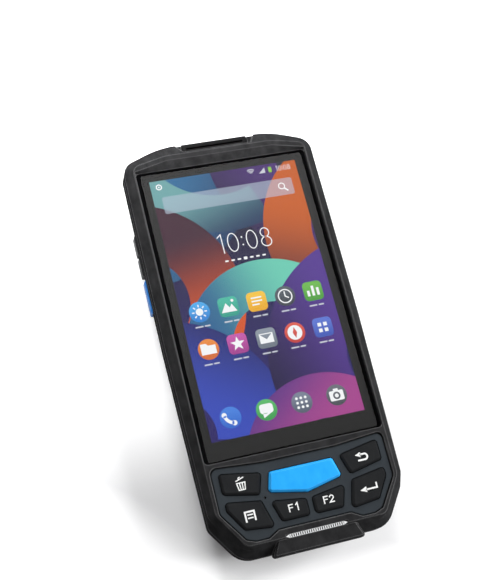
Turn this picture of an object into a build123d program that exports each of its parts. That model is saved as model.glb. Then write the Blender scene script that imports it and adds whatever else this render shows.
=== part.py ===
from build123d import *
import math
import os

# Portable barcode data terminal, in millimetres. It lies on its back: +Z points out of the display,
# +Y towards the scanning end and +X to the right of someone reading the display. The origin is the
# middle of the back face, half-way along the body.

# ---------------------------------------------------------------- driving dimensions: the display
GLASS_WIDTH = 68.8
GLASS_LENGTH = 118.75
GLASS_THICKNESS = 1.4
GLASS_CORNER = 1.2
GLASS_BEVEL = 0.2
PANEL_MARGIN_X = 1.65       # glass edge to the display panel
PANEL_MARGIN_Y = 1.4
PANEL_THICKNESS = 2.0
GASKET_SIDE = 1.6           # width of the black seal beside, above and below the glass
GASKET_TOP = 1.0
GASKET_BOTTOM = 0.6
GASKET_SUNK = 0.7           # the seal lies this far below the glass face

# ---------------------------------------------------------------- driving dimensions: the casing
BACK_TO_GLASS = 24.0        # back face to the outer face of the glass
BROW_LENGTH = 11.7          # glass to the scanning end
SIDE_MARGIN = 5.6           # glass to the side wall, at the scanning end
SIDE_TAPER = 1.2            # each side wall draws in by this between the waist and the bottom
WAIST_DROP = 13.0           # middle of the glass to the waist
TOP_CHAMFER_RUN = 16.8
TOP_CHAMFER_RISE = 5.9
BOTTOM_CHAMFER_RUN = 9.5
BOTTOM_CHAMFER_RISE = 14.1
CORNER_RADII = [40.0, 6.3, 0.0, 5.0, 9.7]           # of the right side, from the top down
CHIN_SETBACK = 2.8          # the shoulder's lower edge above the bottom end
CHIN_RUN = 10.4             # its chamfer
CHIN_RISE = 17.9
SHOULDER_RADII = [40.0, 6.3, 0.0, 6.0, 10.3]
RIM_HEIGHT = 1.1            # rim above the glass
RIM_BAND = 0.5              # flat top of the rim beside the glass
RIM_SOFTNESS = 0.3
RIM_LOW_TAPER = 0.3         # the rim's outer line draws in by this towards the bottom
SHOULDER_DROP = 1.7         # the side walls start this far below the glass
BROW_SLOPE_RUN = 5.0        # slope outside the rim at the scanning end, seen from the front
BROW_SHIFT = 0.7            # the rim's brow corner lies this far inside the casing's
CORNER_SLOPE_RUN = 2.0
CHIN_CORNER_SHIFT = 0.2
CHIN_SLOPE_RUN = 1.8        # slope outside the rim at the bottom end
CHIN_SLOPE_SHIFT = 0.8
RIM_CORNER_RADII = [20.0, 3.5, 0.0, 4.0, 3.0]
BROW_RIDGE_WIDTH = 2.1      # flat top of the brow
BROW_HOLLOW_DROP = 1.1      # the inner slope meets the seal this far below the rim
PARTING_HEIGHT = 17.8       # back face to the plane where the two housings meet
PARTING_REVEAL = 0.45
WALL = 2.0
BACK_WALL = 2.0
BACK_PROFILE = [(13.5, 0.0), (8.0, 1.2), (0.0, 6.0)]   # height and inset of the rear skin
MINIMUM_RADIUS = 1.0

# ---------------------------------------------------------------- driving dimensions: the keypad
PLATE_THICKNESS = 1.6
PLATE_TOP_GAP = 2.4         # glass to the plate's upper corners
PLATE_TOP_SAG = 1.6         # the middle of its top edge lies this much lower
PLATE_SAG_HALF = 15.0
PLATE_SIDE_GAP = 2.0        # rim's outer line to the plate
PLATE_FIT = 0.3
PLATE_BEVEL = 0.3
PLATE_LEDGE = 1.3
PLATE_CHAMFER_RUN = 7.5
PLATE_CHAMFER_RISE = 10.85
PLATE_HEEL_RUN = 3.4
PLATE_HEEL_RISE = 1.25
PLATE_RADII = [8.0, 2.5, 3.0, 1.5, 1.5, 1.0, 1.0]
KEY_MARGIN_SIDE = 2.8
KEY_MARGIN_TOP = 2.5
KEY_MARGIN_BOTTOM = 4.8
UPPER_KEY_HEIGHT = 7.7
UPPER_KEY_SLANT = 2.8       # the inner ends of the corner keys lie lower by this
KEY_ROW_WEB = 3.2
LOWER_KEY_HEIGHT = 11.0
LOWER_KEY_SLANT = 2.0
LOWER_KEY_HEEL = 1.3
LOWER_KEY_SIDE = 3.1        # straight part of the lower corner key's outer edge
LOWER_KEY_CHAMFER = 5.0
KEY_WEB = 3.2
KEY_WEB_LOW = 3.6
SCAN_KEY_TOP_HALF = 12.6
SCAN_KEY_LOW_HALF = 14.6
SCAN_KEY_DROP = 3.1         # its top edge below the top of the corner keys
SCAN_KEY_SIDE = 7.3
SCAN_KEY_POINT = 3.0
FUNCTION_KEY_WEB = 2.4
FUNCTION_KEY_SLANT = 1.9
FUNCTION_KEY_FLARE = 2.5    # its outer edge leans in by this
FUNCTION_ROW_WEB = 3.5
KEY_CORNER = 1.2
KEY_GAP = 0.3
KEY_RISE = 0.9              # key tops above the plate
KEY_BEVEL = 0.75
KEY_TRAVEL = 0.5
KEY_FLANGE = 0.7            # thickness and overhang of the skirt that holds a key in
MAT_THICKNESS = 0.5
DOME_THICKNESS = 0.4
DOME_RADIUS = 3.0
BOARD_THICKNESS = 1.0
MIC_X = -16.4
MIC_HOLE_RADIUS = 0.45
MIC_RADIUS = 1.2
MIC_HEIGHT = 1.1
BOTTOM_RIM = 5.9            # plate to the bottom end

# ---------------------------------------------------------------- driving dimensions: the bump
BUMP_OVERHANG = 1.7         # the bump stands out of the bottom end
BUMP_TOP_HALF = 14.4
BUMP_LOW_HALF = 18.5
BUMP_HEAD = 1.6             # the bump runs this far past the plate's lower edge
BUMP_GAP = 0.7
BUMP_RISE = 0.9             # its upper edge above the glass
BUMP_FALL = 1.5             # how much lower its outer edge is
BUMP_BEVEL = 0.8
BUMP_CHIN = 4.0             # height of its end face
GRILLE_LENGTH = 24.6
GRILLE_WIDTH = 1.3
GRILLE_THICKNESS = 0.5
GRILLE_SUNK = 0.1
GRILLE_RIBS = 25
GRILLE_END = 1.5
MESH_THICKNESS = 0.3
GRILLE_SETBACK = 4.85       # bottom end to the grille's middle line

# ---------------------------------------------------------------- driving dimensions: the scan end
NOTCH_INNER_HALF = 14.5
NOTCH_OUTER_HALF = 16.9
NOTCH_DEPTH = 4.2           # into the brow, from the scanning end
NOTCH_SUNK = 3.1            # notch floor below the glass
BEZEL_HALF = 14.0
BEZEL_LOW = 7.2             # its lower edge above the back
BEZEL_DEPTH = 4.2
BEZEL_OVERHANG = 0.7
BEZEL_LIP = 1.8
BEZEL_FRAME = 2.6
BEZEL_FIT = 0.15
BEZEL_BEVEL = 0.4
PANE_THICKNESS = 0.8
PANE_REBATE = 0.8
ENGINE_WIDTH = 22.0
ENGINE_LENGTH = 15.0
ENGINE_HEIGHT = 9.5
ENGINE_LENS = 1.0           # the lenses stand out of the scan engine by this
IMAGER_RADIUS = 3.2
IMAGER_OFFSET = 4.4
AIMER_RADIUS = 2.0
AIMER_OFFSET = 5.5
BRACKET_THICKNESS = 1.0

# ---------------------------------------------------------------- driving dimensions: side keys
SIDE_KEY_LEVEL = 12.0       # the side keys' middle above the back
SIDE_KEY_WIDTH = 5.0
SIDE_KEY_PROUD = 0.5        # past the side wall
SIDE_KEY_TRAVEL = 0.5
SIDE_KEY_SOFTNESS = 0.6
SIDE_KEY_GAP = 0.2
SIDE_KEY_FLANGE = 0.8       # thickness and overhang of the skirt
SIDE_POCKET_WALL = 1.9
VOLUME_KEY_LENGTH = 8.2
TRIGGER_LENGTH = 14.0
UPPER_SIDE_KEY = 21.3       # glass top edge to the first side key
SIDE_KEY_SPACE = 1.0
TRIGGER_SPACE = 2.0
SIDE_BOARD_THICKNESS = 0.8
SIDE_SWITCH_DEPTH = 1.6
SIDE_SWITCH_SIZE = 3.6

# ---------------------------------------------------------------- driving dimensions: the inside
CHASSIS_THICKNESS = 1.2
STANDOFF_LENGTH = 1.2
STANDOFF_RADIUS = 2.2
STANDOFF_INSET = 4.0
CAN_HEIGHT = 1.8
CAN_GAP = 5.0               # between the cans and the battery contacts
CANS_BELOW = [(-14.0, 26.0, 30.0), (14.0, 22.0, 22.0)]     # middle, width and length
CANS_ABOVE = [(-6.0, 30.0, 18.0)]
MOTOR_RADIUS = 2.0
MOTOR_LENGTH = 10.0
MOTOR_INSET = 8.0
ANTENNA_LENGTH = 14.0
ANTENNA_WIDTH = 4.0
ANTENNA_THICKNESS = 0.3
MIC_Y_DROP = 17.0           # glass to the microphone's pin hole
MAIN_BOARD_LENGTH = 100.0
BAY_HALF = 28.5
BAY_LENGTH = 80.0
BAY_FROM_BOTTOM = 24.0      # bottom end to the battery bay
BAY_HEIGHT = 13.0
BAY_WALL = 1.3
BATTERY_FIT = 0.4
BATTERY_CORNER = 3.0
CONTACT_HALF = 6.0
CONTACT_LENGTH = 3.0
DOOR_THICKNESS = 2.4
DOOR_LEDGE = 2.4            # the door reaches this far past the bay on every side
DOOR_GAP = 0.2
DOOR_CORNER = 3.0
DOOR_TRUNNION = 0.8
TRUNNION_LENGTH = 1.0
TRUNNION_CLEARANCE = 0.06
SEAL_THICKNESS = 0.5
SEAL_WIDTH = 1.3
CASE_SEAL_INSET = 0.9       # outer face of the walls to the seal in the parting plane
CASE_SEAL_HEIGHT = 0.8
GRIP_GROOVES = 5            # shallow grooves for the thumb beside the hinge
GRIP_START = 6.0
GRIP_PITCH = 2.4
GRIP_LENGTH = 24.0
GRIP_DEPTH = 0.4
LATCH_WIDTH = 14.0
LATCH_LENGTH = 9.0
LATCH_TRAVEL = 2.5
LATCH_FIT = 0.15
LATCH_FLANGE = 0.7
LATCH_FLANGE_LOW = 1.0
LATCH_THUMB = 5.0
LATCH_THUMB_HALF = 5.0
LATCH_SUNK = 0.3
LATCH_GROOVES = 3
LATCH_GROOVE = 0.4
SPEAKER_LENGTH = 22.0
SPEAKER_WIDTH = 5.6
SPEAKER_HEIGHT = 4.0
GRILLE_RAIL = 0.12
PORT_LEVEL = 12.4           # height of the data port's middle above the back
PORT_WIDTH = 9.0
PORT_HEIGHT = 3.2
PORT_LENGTH = 7.4
PORT_SHELL = 0.3
PORT_RECESS = 0.9           # cover's inner face to the port
PORT_BOARD_HALF = 10.0
PORT_BOARD_LENGTH = 13.0
POST_RADIUS = 1.5
COVER_WIDTH = 16.0
COVER_HEIGHT = 7.0
COVER_THICKNESS = 1.2
COVER_FIT = 0.12
COVER_PIN = 0.4
COVER_PIN_LENGTH = 1.0
PLUG_DEPTH = 0.8
PLUG_FIT = 0.3
CAMERA_FROM_TOP = 32.0
CAMERA_OFFSET = 12.0
CAMERA_RADIUS = 5.0
CAMERA_HEIGHT = 6.0
FLASH_RADIUS = 2.6
FLASH_SPACING = 12.0
WINDOW_THICKNESS = 1.0
WINDOW_SUNK = 0.3
WINDOW_LEDGE = 1.0
SCREW_RADIUS = 1.0
SCREW_HEAD_RADIUS = 1.9
SCREW_HEAD_HEIGHT = 1.5
SCREW_CROSS_LENGTH = 2.2
SCREW_CROSS_WIDTH = 0.5
SCREW_SEAT = 7.5            # height of the screw heads' seats above the back
SCREW_CLEARANCE = 0.2
SCREW_TOP_SIDE = 10.5       # side wall to the upper screws
SCREW_TOP_RISE = 2.2
SCREW_SIDE_SINK = 0.7       # the middle bosses run into the side walls by this
SCREW_SIDE_DROP = 28.0
SCREW_LOW_SIDE = 5.6
SCREW_LOW_RISE = 4.5
INSERT_RADIUS = 1.6
BOSS_WALL = 1.2
SEAT_GAP = 0.1

# ---------------------------------------------------------------- places worked out from the above
GLASS_FACE = BACK_TO_GLASS
GLASS_UNDERSIDE = GLASS_FACE - GLASS_THICKNESS
PANEL_UNDERSIDE = GLASS_UNDERSIDE - PANEL_THICKNESS
RIM_FACE = GLASS_FACE + RIM_HEIGHT
SHOULDER = GLASS_FACE - SHOULDER_DROP
CASE_LEDGE = PANEL_UNDERSIDE             # the front housing is hollow below this level
CHIN_LENGTH = (PLATE_TOP_GAP + KEY_MARGIN_TOP + UPPER_KEY_HEIGHT + KEY_ROW_WEB
               + LOWER_KEY_HEIGHT + KEY_MARGIN_BOTTOM + BOTTOM_RIM)
BODY_LENGTH = BROW_LENGTH + GLASS_LENGTH + CHIN_LENGTH
BODY_TOP = BODY_LENGTH / 2
BODY_BOTTOM = -BODY_LENGTH / 2
BODY_HALF = GLASS_WIDTH / 2 + SIDE_MARGIN
LOW_HALF = BODY_HALF - SIDE_TAPER
GLASS_TOP = BODY_TOP - BROW_LENGTH
GLASS_BOTTOM = GLASS_TOP - GLASS_LENGTH
GLASS_MIDDLE = (GLASS_TOP + GLASS_BOTTOM) / 2
WAIST_Y = GLASS_MIDDLE - WAIST_DROP
OPENING_HALF = GLASS_WIDTH / 2 + GASKET_SIDE
OPENING_TOP = GLASS_TOP + GASKET_TOP
OPENING_BOTTOM = GLASS_BOTTOM - GASKET_BOTTOM
RIM_HALF = OPENING_HALF + RIM_BAND
PANEL_HALF = GLASS_WIDTH / 2 - PANEL_MARGIN_X
PANEL_TOP = GLASS_TOP - PANEL_MARGIN_Y
PANEL_BOTTOM = GLASS_BOTTOM + PANEL_MARGIN_Y

KEYPAD_BOARD_TOP = CASE_LEDGE
KEYPAD_BOARD_LOW = KEYPAD_BOARD_TOP - BOARD_THICKNESS
DOME_TOP = KEYPAD_BOARD_TOP + DOME_THICKNESS
MAT_TOP = DOME_TOP + MAT_THICKNESS
FLANGE_LOW = MAT_TOP + KEY_TRAVEL + SEAT_GAP
FLANGE_TOP = FLANGE_LOW + KEY_FLANGE
PLATE_UNDERSIDE = FLANGE_TOP + SEAT_GAP
PLATE_FACE = PLATE_UNDERSIDE + PLATE_THICKNESS
PLATE_TOP = GLASS_BOTTOM - PLATE_TOP_GAP
PLATE_HALF = RIM_HALF - PLATE_SIDE_GAP
UPPER_KEY_TOP = PLATE_TOP - KEY_MARGIN_TOP
UPPER_KEY_LOW = UPPER_KEY_TOP - UPPER_KEY_HEIGHT
LOWER_KEY_TOP = UPPER_KEY_LOW - KEY_ROW_WEB
LOWER_KEY_LOW = LOWER_KEY_TOP - LOWER_KEY_HEIGHT
PLATE_BOTTOM = LOWER_KEY_LOW - KEY_MARGIN_BOTTOM
KEY_OUTER = PLATE_HALF - KEY_MARGIN_SIDE
SCAN_KEY_TOP = UPPER_KEY_TOP - SCAN_KEY_DROP
SCAN_KEY_LOW = SCAN_KEY_TOP - SCAN_KEY_SIDE
SCAN_KEY_TIP = SCAN_KEY_LOW - SCAN_KEY_POINT
FUNCTION_KEY_OUTER = SCAN_KEY_LOW_HALF
FUNCTION_KEY_TOP = SCAN_KEY_LOW - FUNCTION_ROW_WEB
MIC_Y = GLASS_BOTTOM - MIC_Y_DROP

CHASSIS_LOW = PANEL_UNDERSIDE - CHASSIS_THICKNESS
CHASSIS_HALF = LOW_HALF - WALL - PLATE_FIT
BOARD_TOP = CHASSIS_LOW - STANDOFF_LENGTH
BOARD_LOW = BOARD_TOP - BOARD_THICKNESS
BOARD_HALF = PANEL_HALF
BOARD_TOP_Y = PANEL_TOP - ENGINE_LENGTH
BOARD_LOW_Y = BOARD_TOP_Y - MAIN_BOARD_LENGTH
STANDOFF_LOW_Y = max(BOARD_LOW_Y, GLASS_BOTTOM) + STANDOFF_INSET    # on both board and chassis
BAY_LOW_Y = BODY_BOTTOM + BAY_FROM_BOTTOM
BAY_TOP_Y = BAY_LOW_Y + BAY_LENGTH
DOOR_LOW_Y = BAY_LOW_Y - DOOR_LEDGE
DOOR_TOP_Y = BAY_TOP_Y + DOOR_LEDGE
DOOR_HALF = BAY_HALF + DOOR_LEDGE
DOOR_AXIS_Y = DOOR_TOP_Y - DOOR_THICKNESS / 2
DOOR_AXIS_Z = DOOR_THICKNESS / 2
SEAL_TOP = DOOR_THICKNESS + SEAT_GAP + SEAL_THICKNESS
BAY_CEILING = BAY_HEIGHT + BAY_WALL
BUMP_END = BODY_BOTTOM - BUMP_OVERHANG
BUMP_START = PLATE_BOTTOM + BUMP_HEAD
BUMP_FACE = GLASS_FACE + BUMP_RISE
BUMP_ANGLE = math.degrees(math.atan(BUMP_FALL / (BUMP_START - BUMP_END)))
GRILLE_Y = BODY_BOTTOM + GRILLE_SETBACK
GRILLE_Z = BUMP_FACE - (BUMP_START - GRILLE_Y) * math.tan(math.radians(BUMP_ANGLE))
SPEAKER_Y = GRILLE_Y - BUMP_GAP
SPEAKER_TOP = PLATE_UNDERSIDE
BEZEL_TOP = GLASS_FACE - NOTCH_SUNK
BEZEL_FRONT = BODY_TOP + BEZEL_OVERHANG
BEZEL_BACK = BEZEL_FRONT - BEZEL_DEPTH
PANE_FRONT = BEZEL_FRONT - BEZEL_LIP
PANE_BACK = PANE_FRONT - PANE_THICKNESS
ENGINE_TOP = CHASSIS_LOW - BRACKET_THICKNESS
ENGINE_LOW = ENGINE_TOP - ENGINE_HEIGHT
SIDE_KEY_FACE = BODY_HALF + SIDE_KEY_PROUD
SIDE_POCKET = BODY_HALF - SIDE_POCKET_WALL
SIDE_FLANGE_OUT = SIDE_POCKET - SEAT_GAP
SIDE_FLANGE_IN = SIDE_FLANGE_OUT - SIDE_KEY_FLANGE
SIDE_SWITCH_OUT = SIDE_FLANGE_IN - SIDE_KEY_TRAVEL - SEAT_GAP
SIDE_BOARD_OUT = SIDE_SWITCH_OUT - SIDE_SWITCH_DEPTH
SIDE_BOARD_IN = SIDE_BOARD_OUT - SIDE_BOARD_THICKNESS
PORT_BOARD_LOW = PORT_LEVEL + PORT_HEIGHT / 2
COVER_BACK = BODY_BOTTOM + COVER_THICKNESS
COVER_AXIS_Y = BODY_BOTTOM + COVER_THICKNESS / 2
COVER_TOP = PORT_LEVEL + COVER_HEIGHT / 2
COVER_LOW = PORT_LEVEL - COVER_HEIGHT / 2
COVER_AXIS_Z = COVER_TOP - COVER_THICKNESS / 2
PORT_FRONT = COVER_BACK + PORT_RECESS
CAMERA_Y = BODY_TOP - CAMERA_FROM_TOP
BOSS_RADIUS = INSERT_RADIUS + BOSS_WALL
SCREW_HOLE_RADIUS = SCREW_RADIUS + SCREW_CLEARANCE
SCREW_WELL_RADIUS = SCREW_HEAD_RADIUS + SCREW_CLEARANCE
INSERT_TOP = CASE_LEDGE - PLATE_FIT
INSERT_LOW = PARTING_HEIGHT + SEAT_GAP
SCREW_SIDE_Y = GLASS_MIDDLE - SCREW_SIDE_DROP


def wall_half(y):
    """Half width of the casing at a place along it, between the corners."""
    share = (WAIST_Y - y) / (WAIST_Y - BODY_BOTTOM - BOTTOM_CHAMFER_RISE)
    return BODY_HALF - SIDE_TAPER * max(share, 0)


SCREW_PLACES = [
    (BODY_HALF - SCREW_TOP_SIDE, GLASS_TOP + SCREW_TOP_RISE),
    (wall_half(SCREW_SIDE_Y) - WALL - BOSS_RADIUS + SCREW_SIDE_SINK, SCREW_SIDE_Y),
    (LOW_HALF - BOTTOM_CHAMFER_RUN - SCREW_LOW_SIDE, BODY_BOTTOM + SCREW_LOW_RISE),
]
SCREW_POINTS = SCREW_PLACES + [(-x, y) for x, y in SCREW_PLACES]


# ---------------------------------------------------------------- shared helpers
def both_sides(right_half):
    """Corners of a symmetric outline, clockwise, from its right half listed top to bottom."""
    left_half = [(-x, y) for x, y in reversed(right_half)]
    return right_half + left_half


def inset(corners, distance):
    """Corners of a clockwise outline moved inwards by one distance."""
    moved = []
    for (x0, y0), (x1, y1) in zip(corners, corners[1:] + corners[:1]):
        length = math.hypot(x1 - x0, y1 - y0)
        along = ((x1 - x0) / length, (y1 - y0) / length)
        start = (x0 + along[1] * distance, y0 - along[0] * distance)
        moved.append((start, along))
    result = []
    for (start_a, along_a), (start_b, along_b) in zip(moved[-1:] + moved[:-1], moved):
        cross = along_a[0] * along_b[1] - along_a[1] * along_b[0]
        gap = (start_b[0] - start_a[0], start_b[1] - start_a[1])
        reach = (gap[0] * along_b[1] - gap[1] * along_b[0]) / cross
        result.append((start_a[0] + along_a[0] * reach, start_a[1] + along_a[1] * reach))
    return result


def rounded(corners, radii, height=0.0):
    """Flat face with rounded corners at a height."""
    return Pos(0, 0, height) * make_face(FilletPolyline(*corners, radius=radii, close=True))


def slab(face, low, high):
    """Prism over a flat outline between two heights."""
    return Pos(0, 0, low) * extrude(face, high - low)


def block(x_span, y_span, z_span):
    """Box given by its limits."""
    size = [high - low for low, high in (x_span, y_span, z_span)]
    middle = [(low + high) / 2 for low, high in (x_span, y_span, z_span)]
    return Pos(*middle) * Box(*size)


def rod(radius, low, high, x, y):
    """Upright cylinder between two heights."""
    return Pos(x, y, (low + high) / 2) * Cylinder(radius, high - low)


def cross_rod(radius, x_low, x_high, y, z):
    """Cylinder along X."""
    return Pos((x_low + x_high) / 2, y, z) * Rot(0, 90, 0) * Cylinder(radius, x_high - x_low)


def mirrored(shape):
    """The same shape on the other side of the body."""
    return mirror(shape, about=Plane.YZ)


def level_edges(shape, height):
    """Edges that lie flat at a height."""
    near = 1e-4
    return [
        edge for edge in shape.edges()
        if abs(edge.bounding_box().min.Z - height) < near
        and abs(edge.bounding_box().max.Z - height) < near
    ]


# ---------------------------------------------------------------- outlines
def casing_outline(corners, radii, distance, height):
    """Symmetric outline from its right side, inset by a distance, at a height."""
    softened = [max(radius - distance, MINIMUM_RADIUS) if radius else 0 for radius in radii]
    return rounded(inset(both_sides(corners), distance), softened + softened[::-1], height)


def upper_corners():
    """Right-hand corners that the casing's outline has in common at every height."""
    return [
        (BODY_HALF - TOP_CHAMFER_RUN, BODY_TOP),
        (BODY_HALF, BODY_TOP - TOP_CHAMFER_RISE),
        (BODY_HALF, WAIST_Y),
    ]


def body_section(height, distance):
    """The casing's outline at and below the parting line, inset all round by a distance."""
    corners = upper_corners() + [
        (LOW_HALF, BODY_BOTTOM + BOTTOM_CHAMFER_RISE),
        (LOW_HALF - BOTTOM_CHAMFER_RUN, BODY_BOTTOM),
    ]
    return casing_outline(corners, CORNER_RADII, distance, height)


def shoulder_section(height, distance):
    """The casing's outline at the shoulder, where the chin has drawn in, inset by a distance."""
    corners = upper_corners() + [
        (LOW_HALF, BODY_BOTTOM + CHIN_RISE),
        (LOW_HALF - CHIN_RUN, BODY_BOTTOM + CHIN_SETBACK),
    ]
    return casing_outline(corners, SHOULDER_RADII, distance, height)


def rim_section(height):
    """Outer line of the front housing's flat rim: the slopes outside it fall to the shoulder."""
    corners = [
        (BODY_HALF - TOP_CHAMFER_RUN - BROW_SHIFT, BODY_TOP - BROW_SLOPE_RUN),
        (RIM_HALF, BODY_TOP - TOP_CHAMFER_RISE - CORNER_SLOPE_RUN),
        (RIM_HALF, WAIST_Y),
        (RIM_HALF - RIM_LOW_TAPER, BODY_BOTTOM + CHIN_RISE + CHIN_CORNER_SHIFT),
        (LOW_HALF - CHIN_RUN - CHIN_SLOPE_SHIFT, BODY_BOTTOM + CHIN_SETBACK + CHIN_SLOPE_RUN),
    ]
    return casing_outline(corners, RIM_CORNER_RADII, 0, height)


def plate_section(distance):
    """The keypad plate's outline, inset by a distance. Its lower edge makes room for the bump."""
    corners = both_sides([
        (PLATE_SAG_HALF, PLATE_TOP - PLATE_TOP_SAG),
        (PLATE_HALF, PLATE_TOP),
        (PLATE_HALF, PLATE_BOTTOM + PLATE_CHAMFER_RISE + PLATE_HEEL_RISE),
        (PLATE_HALF - PLATE_CHAMFER_RUN, PLATE_BOTTOM + PLATE_HEEL_RISE),
        (PLATE_HALF - PLATE_CHAMFER_RUN - PLATE_HEEL_RUN, PLATE_BOTTOM),
        (BUMP_LOW_HALF, PLATE_BOTTOM),
        (BUMP_TOP_HALF, BUMP_START + BUMP_GAP),
    ])
    return rounded(inset(corners, distance), PLATE_RADII + PLATE_RADII[::-1])


def key_sections():
    """Outline of each front key by name. The keys of the left side mirror those of the right."""
    upper = [
        (SCAN_KEY_TOP_HALF + KEY_WEB, UPPER_KEY_TOP - UPPER_KEY_SLANT),
        (KEY_OUTER, UPPER_KEY_TOP),
        (KEY_OUTER, UPPER_KEY_LOW),
        (SCAN_KEY_LOW_HALF + KEY_WEB_LOW, UPPER_KEY_LOW - UPPER_KEY_SLANT),
    ]
    lower = [
        (FUNCTION_KEY_OUTER + KEY_WEB_LOW, LOWER_KEY_TOP - LOWER_KEY_SLANT),
        (KEY_OUTER, LOWER_KEY_TOP),
        (KEY_OUTER, LOWER_KEY_TOP - LOWER_KEY_SIDE),
        (KEY_OUTER - LOWER_KEY_CHAMFER, LOWER_KEY_LOW),
        (FUNCTION_KEY_OUTER - FUNCTION_KEY_FLARE + KEY_WEB, LOWER_KEY_LOW - LOWER_KEY_HEEL),
    ]
    function = [
        (FUNCTION_KEY_WEB / 2, FUNCTION_KEY_TOP - FUNCTION_KEY_SLANT),
        (FUNCTION_KEY_OUTER, FUNCTION_KEY_TOP),
        (FUNCTION_KEY_OUTER - FUNCTION_KEY_FLARE, LOWER_KEY_LOW),
        (FUNCTION_KEY_WEB / 2, LOWER_KEY_LOW),
    ]
    scan = both_sides([
        (SCAN_KEY_TOP_HALF, SCAN_KEY_TOP),
        (SCAN_KEY_LOW_HALF, SCAN_KEY_LOW),
    ])
    scan.insert(2, (0, SCAN_KEY_TIP))
    right = {"key_back": upper, "key_enter": lower, "key_f2": function}
    left = {"key_delete": upper, "key_menu": lower, "key_f1": function}
    faces = {name: rounded(corners, KEY_CORNER) for name, corners in right.items()}
    faces.update({name: mirrored(rounded(corners, KEY_CORNER)) for name, corners in left.items()})
    faces["key_scan"] = rounded(scan, KEY_CORNER)
    return faces


def bump_section():
    """Plan of the speaker bump, a trapezoid that widens towards the bottom end."""
    corners = both_sides([(BUMP_TOP_HALF, BUMP_START), (BUMP_LOW_HALF, BUMP_END)])
    return rounded(corners, MINIMUM_RADIUS)


def screw_columns(radius, low, high):
    """One upright cylinder at each housing screw."""
    return [rod(radius, low, high, x, y) for x, y in SCREW_POINTS]


# ---------------------------------------------------------------- casing
def speaker_bump():
    """Raised housing of the speaker: its face falls towards the end, its chin leans back."""
    profile = make_face(Polyline(
        (0, BUMP_START, PARTING_HEIGHT + PARTING_REVEAL),
        (0, BUMP_START, BUMP_FACE),
        (0, BUMP_END, BUMP_FACE - BUMP_FALL),
        (0, BUMP_END, BUMP_FACE - BUMP_FALL - BUMP_CHIN),
        (0, BODY_BOTTOM, PARTING_HEIGHT + PARTING_REVEAL),
        close=True,
    ))
    run = extrude(profile, BUMP_LOW_HALF + WALL, dir=(1, 0, 0), both=True)
    bump = run & slab(bump_section(), PARTING_HEIGHT, RIM_FACE)
    face = bump.faces().sort_by(Axis.Z)[-1]
    return chamfer(face.edges(), BUMP_BEVEL)


def on_bump(shape, sunk):
    """Lay a flat shape on the bump's sloping face, sunk into it by a depth."""
    lean = math.sin(math.radians(BUMP_ANGLE))
    upright = math.cos(math.radians(BUMP_ANGLE))
    face = Plane(origin=(0, GRILLE_Y, GRILLE_Z), x_dir=(1, 0, 0), z_dir=(0, -lean, upright))
    return face.location * Pos(0, 0, -sunk) * shape


def speaker_opening():
    """Cutter for the room that the speaker box needs in the walls of both housings."""
    half = SPEAKER_LENGTH / 2 + PLATE_FIT
    reach = SPEAKER_WIDTH / 2 + PLATE_FIT
    low = min(PARTING_HEIGHT, SPEAKER_TOP - SPEAKER_HEIGHT - PLATE_FIT)
    return block((-half, half), (SPEAKER_Y - reach, SPEAKER_Y + reach), (low, SPEAKER_TOP))


def brow_hollow():
    """Cutter for the brow's inner slope, which falls from the flat brow to the display seal."""
    ridge = BODY_TOP - BROW_SLOPE_RUN - BROW_RIDGE_WIDTH
    low = OPENING_TOP - GASKET_TOP
    inner_corner = (BODY_HALF - TOP_CHAMFER_RUN - BROW_SHIFT, ridge)
    outer_corner = (OPENING_HALF, BODY_TOP - TOP_CHAMFER_RISE - CORNER_SLOPE_RUN - BROW_RIDGE_WIDTH)
    rise = RIM_HEIGHT / BROW_HOLLOW_DROP
    sections = []
    for height, share in ((RIM_FACE + RIM_HEIGHT, 1 + rise), (RIM_FACE - BROW_HOLLOW_DROP, 0)):
        corners = [
            (inner_corner[0], OPENING_TOP + (inner_corner[1] - OPENING_TOP) * share),
            (outer_corner[0], OPENING_TOP + (outer_corner[1] - OPENING_TOP) * share),
            (OPENING_HALF, low),
        ]
        sections.append(rounded(both_sides(corners), 0, height))
    return loft(sections, ruled=True)


def scan_notch():
    """Cutter for the notch in the brow above the scan window."""
    flare = (NOTCH_OUTER_HALF - NOTCH_INNER_HALF) / NOTCH_DEPTH
    reach = BEZEL_OVERHANG + WALL
    corners = both_sides([
        (NOTCH_OUTER_HALF + flare * reach, BODY_TOP + reach),
        (NOTCH_INNER_HALF, BODY_TOP - NOTCH_DEPTH),
    ])
    return slab(rounded(corners, 0), BEZEL_TOP, RIM_FACE + RIM_HEIGHT)


def bezel_opening():
    """Cutter for the hole in the scanning end that takes the window bezel."""
    return block(
        (-BEZEL_HALF - BEZEL_FIT, BEZEL_HALF + BEZEL_FIT),
        (BEZEL_BACK - BEZEL_FIT, BEZEL_FRONT + WALL),
        (BEZEL_LOW - BEZEL_FIT, RIM_FACE + RIM_HEIGHT),
    )


def panel_opening(fit):
    """Rectangle of the display panel with a fit all round."""
    return block(
        (-PANEL_HALF - fit, PANEL_HALF + fit),
        (PANEL_BOTTOM - fit, PANEL_TOP + fit),
        (PARTING_HEIGHT, RIM_FACE + RIM_HEIGHT),
    )


def display_opening(low, high):
    """Prism of the opening in the bezel that holds the glass and its seal."""
    corners = both_sides([(OPENING_HALF, OPENING_TOP), (OPENING_HALF, OPENING_BOTTOM)])
    return slab(rounded(corners, GLASS_CORNER + GASKET_BOTTOM), low, high)


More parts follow.
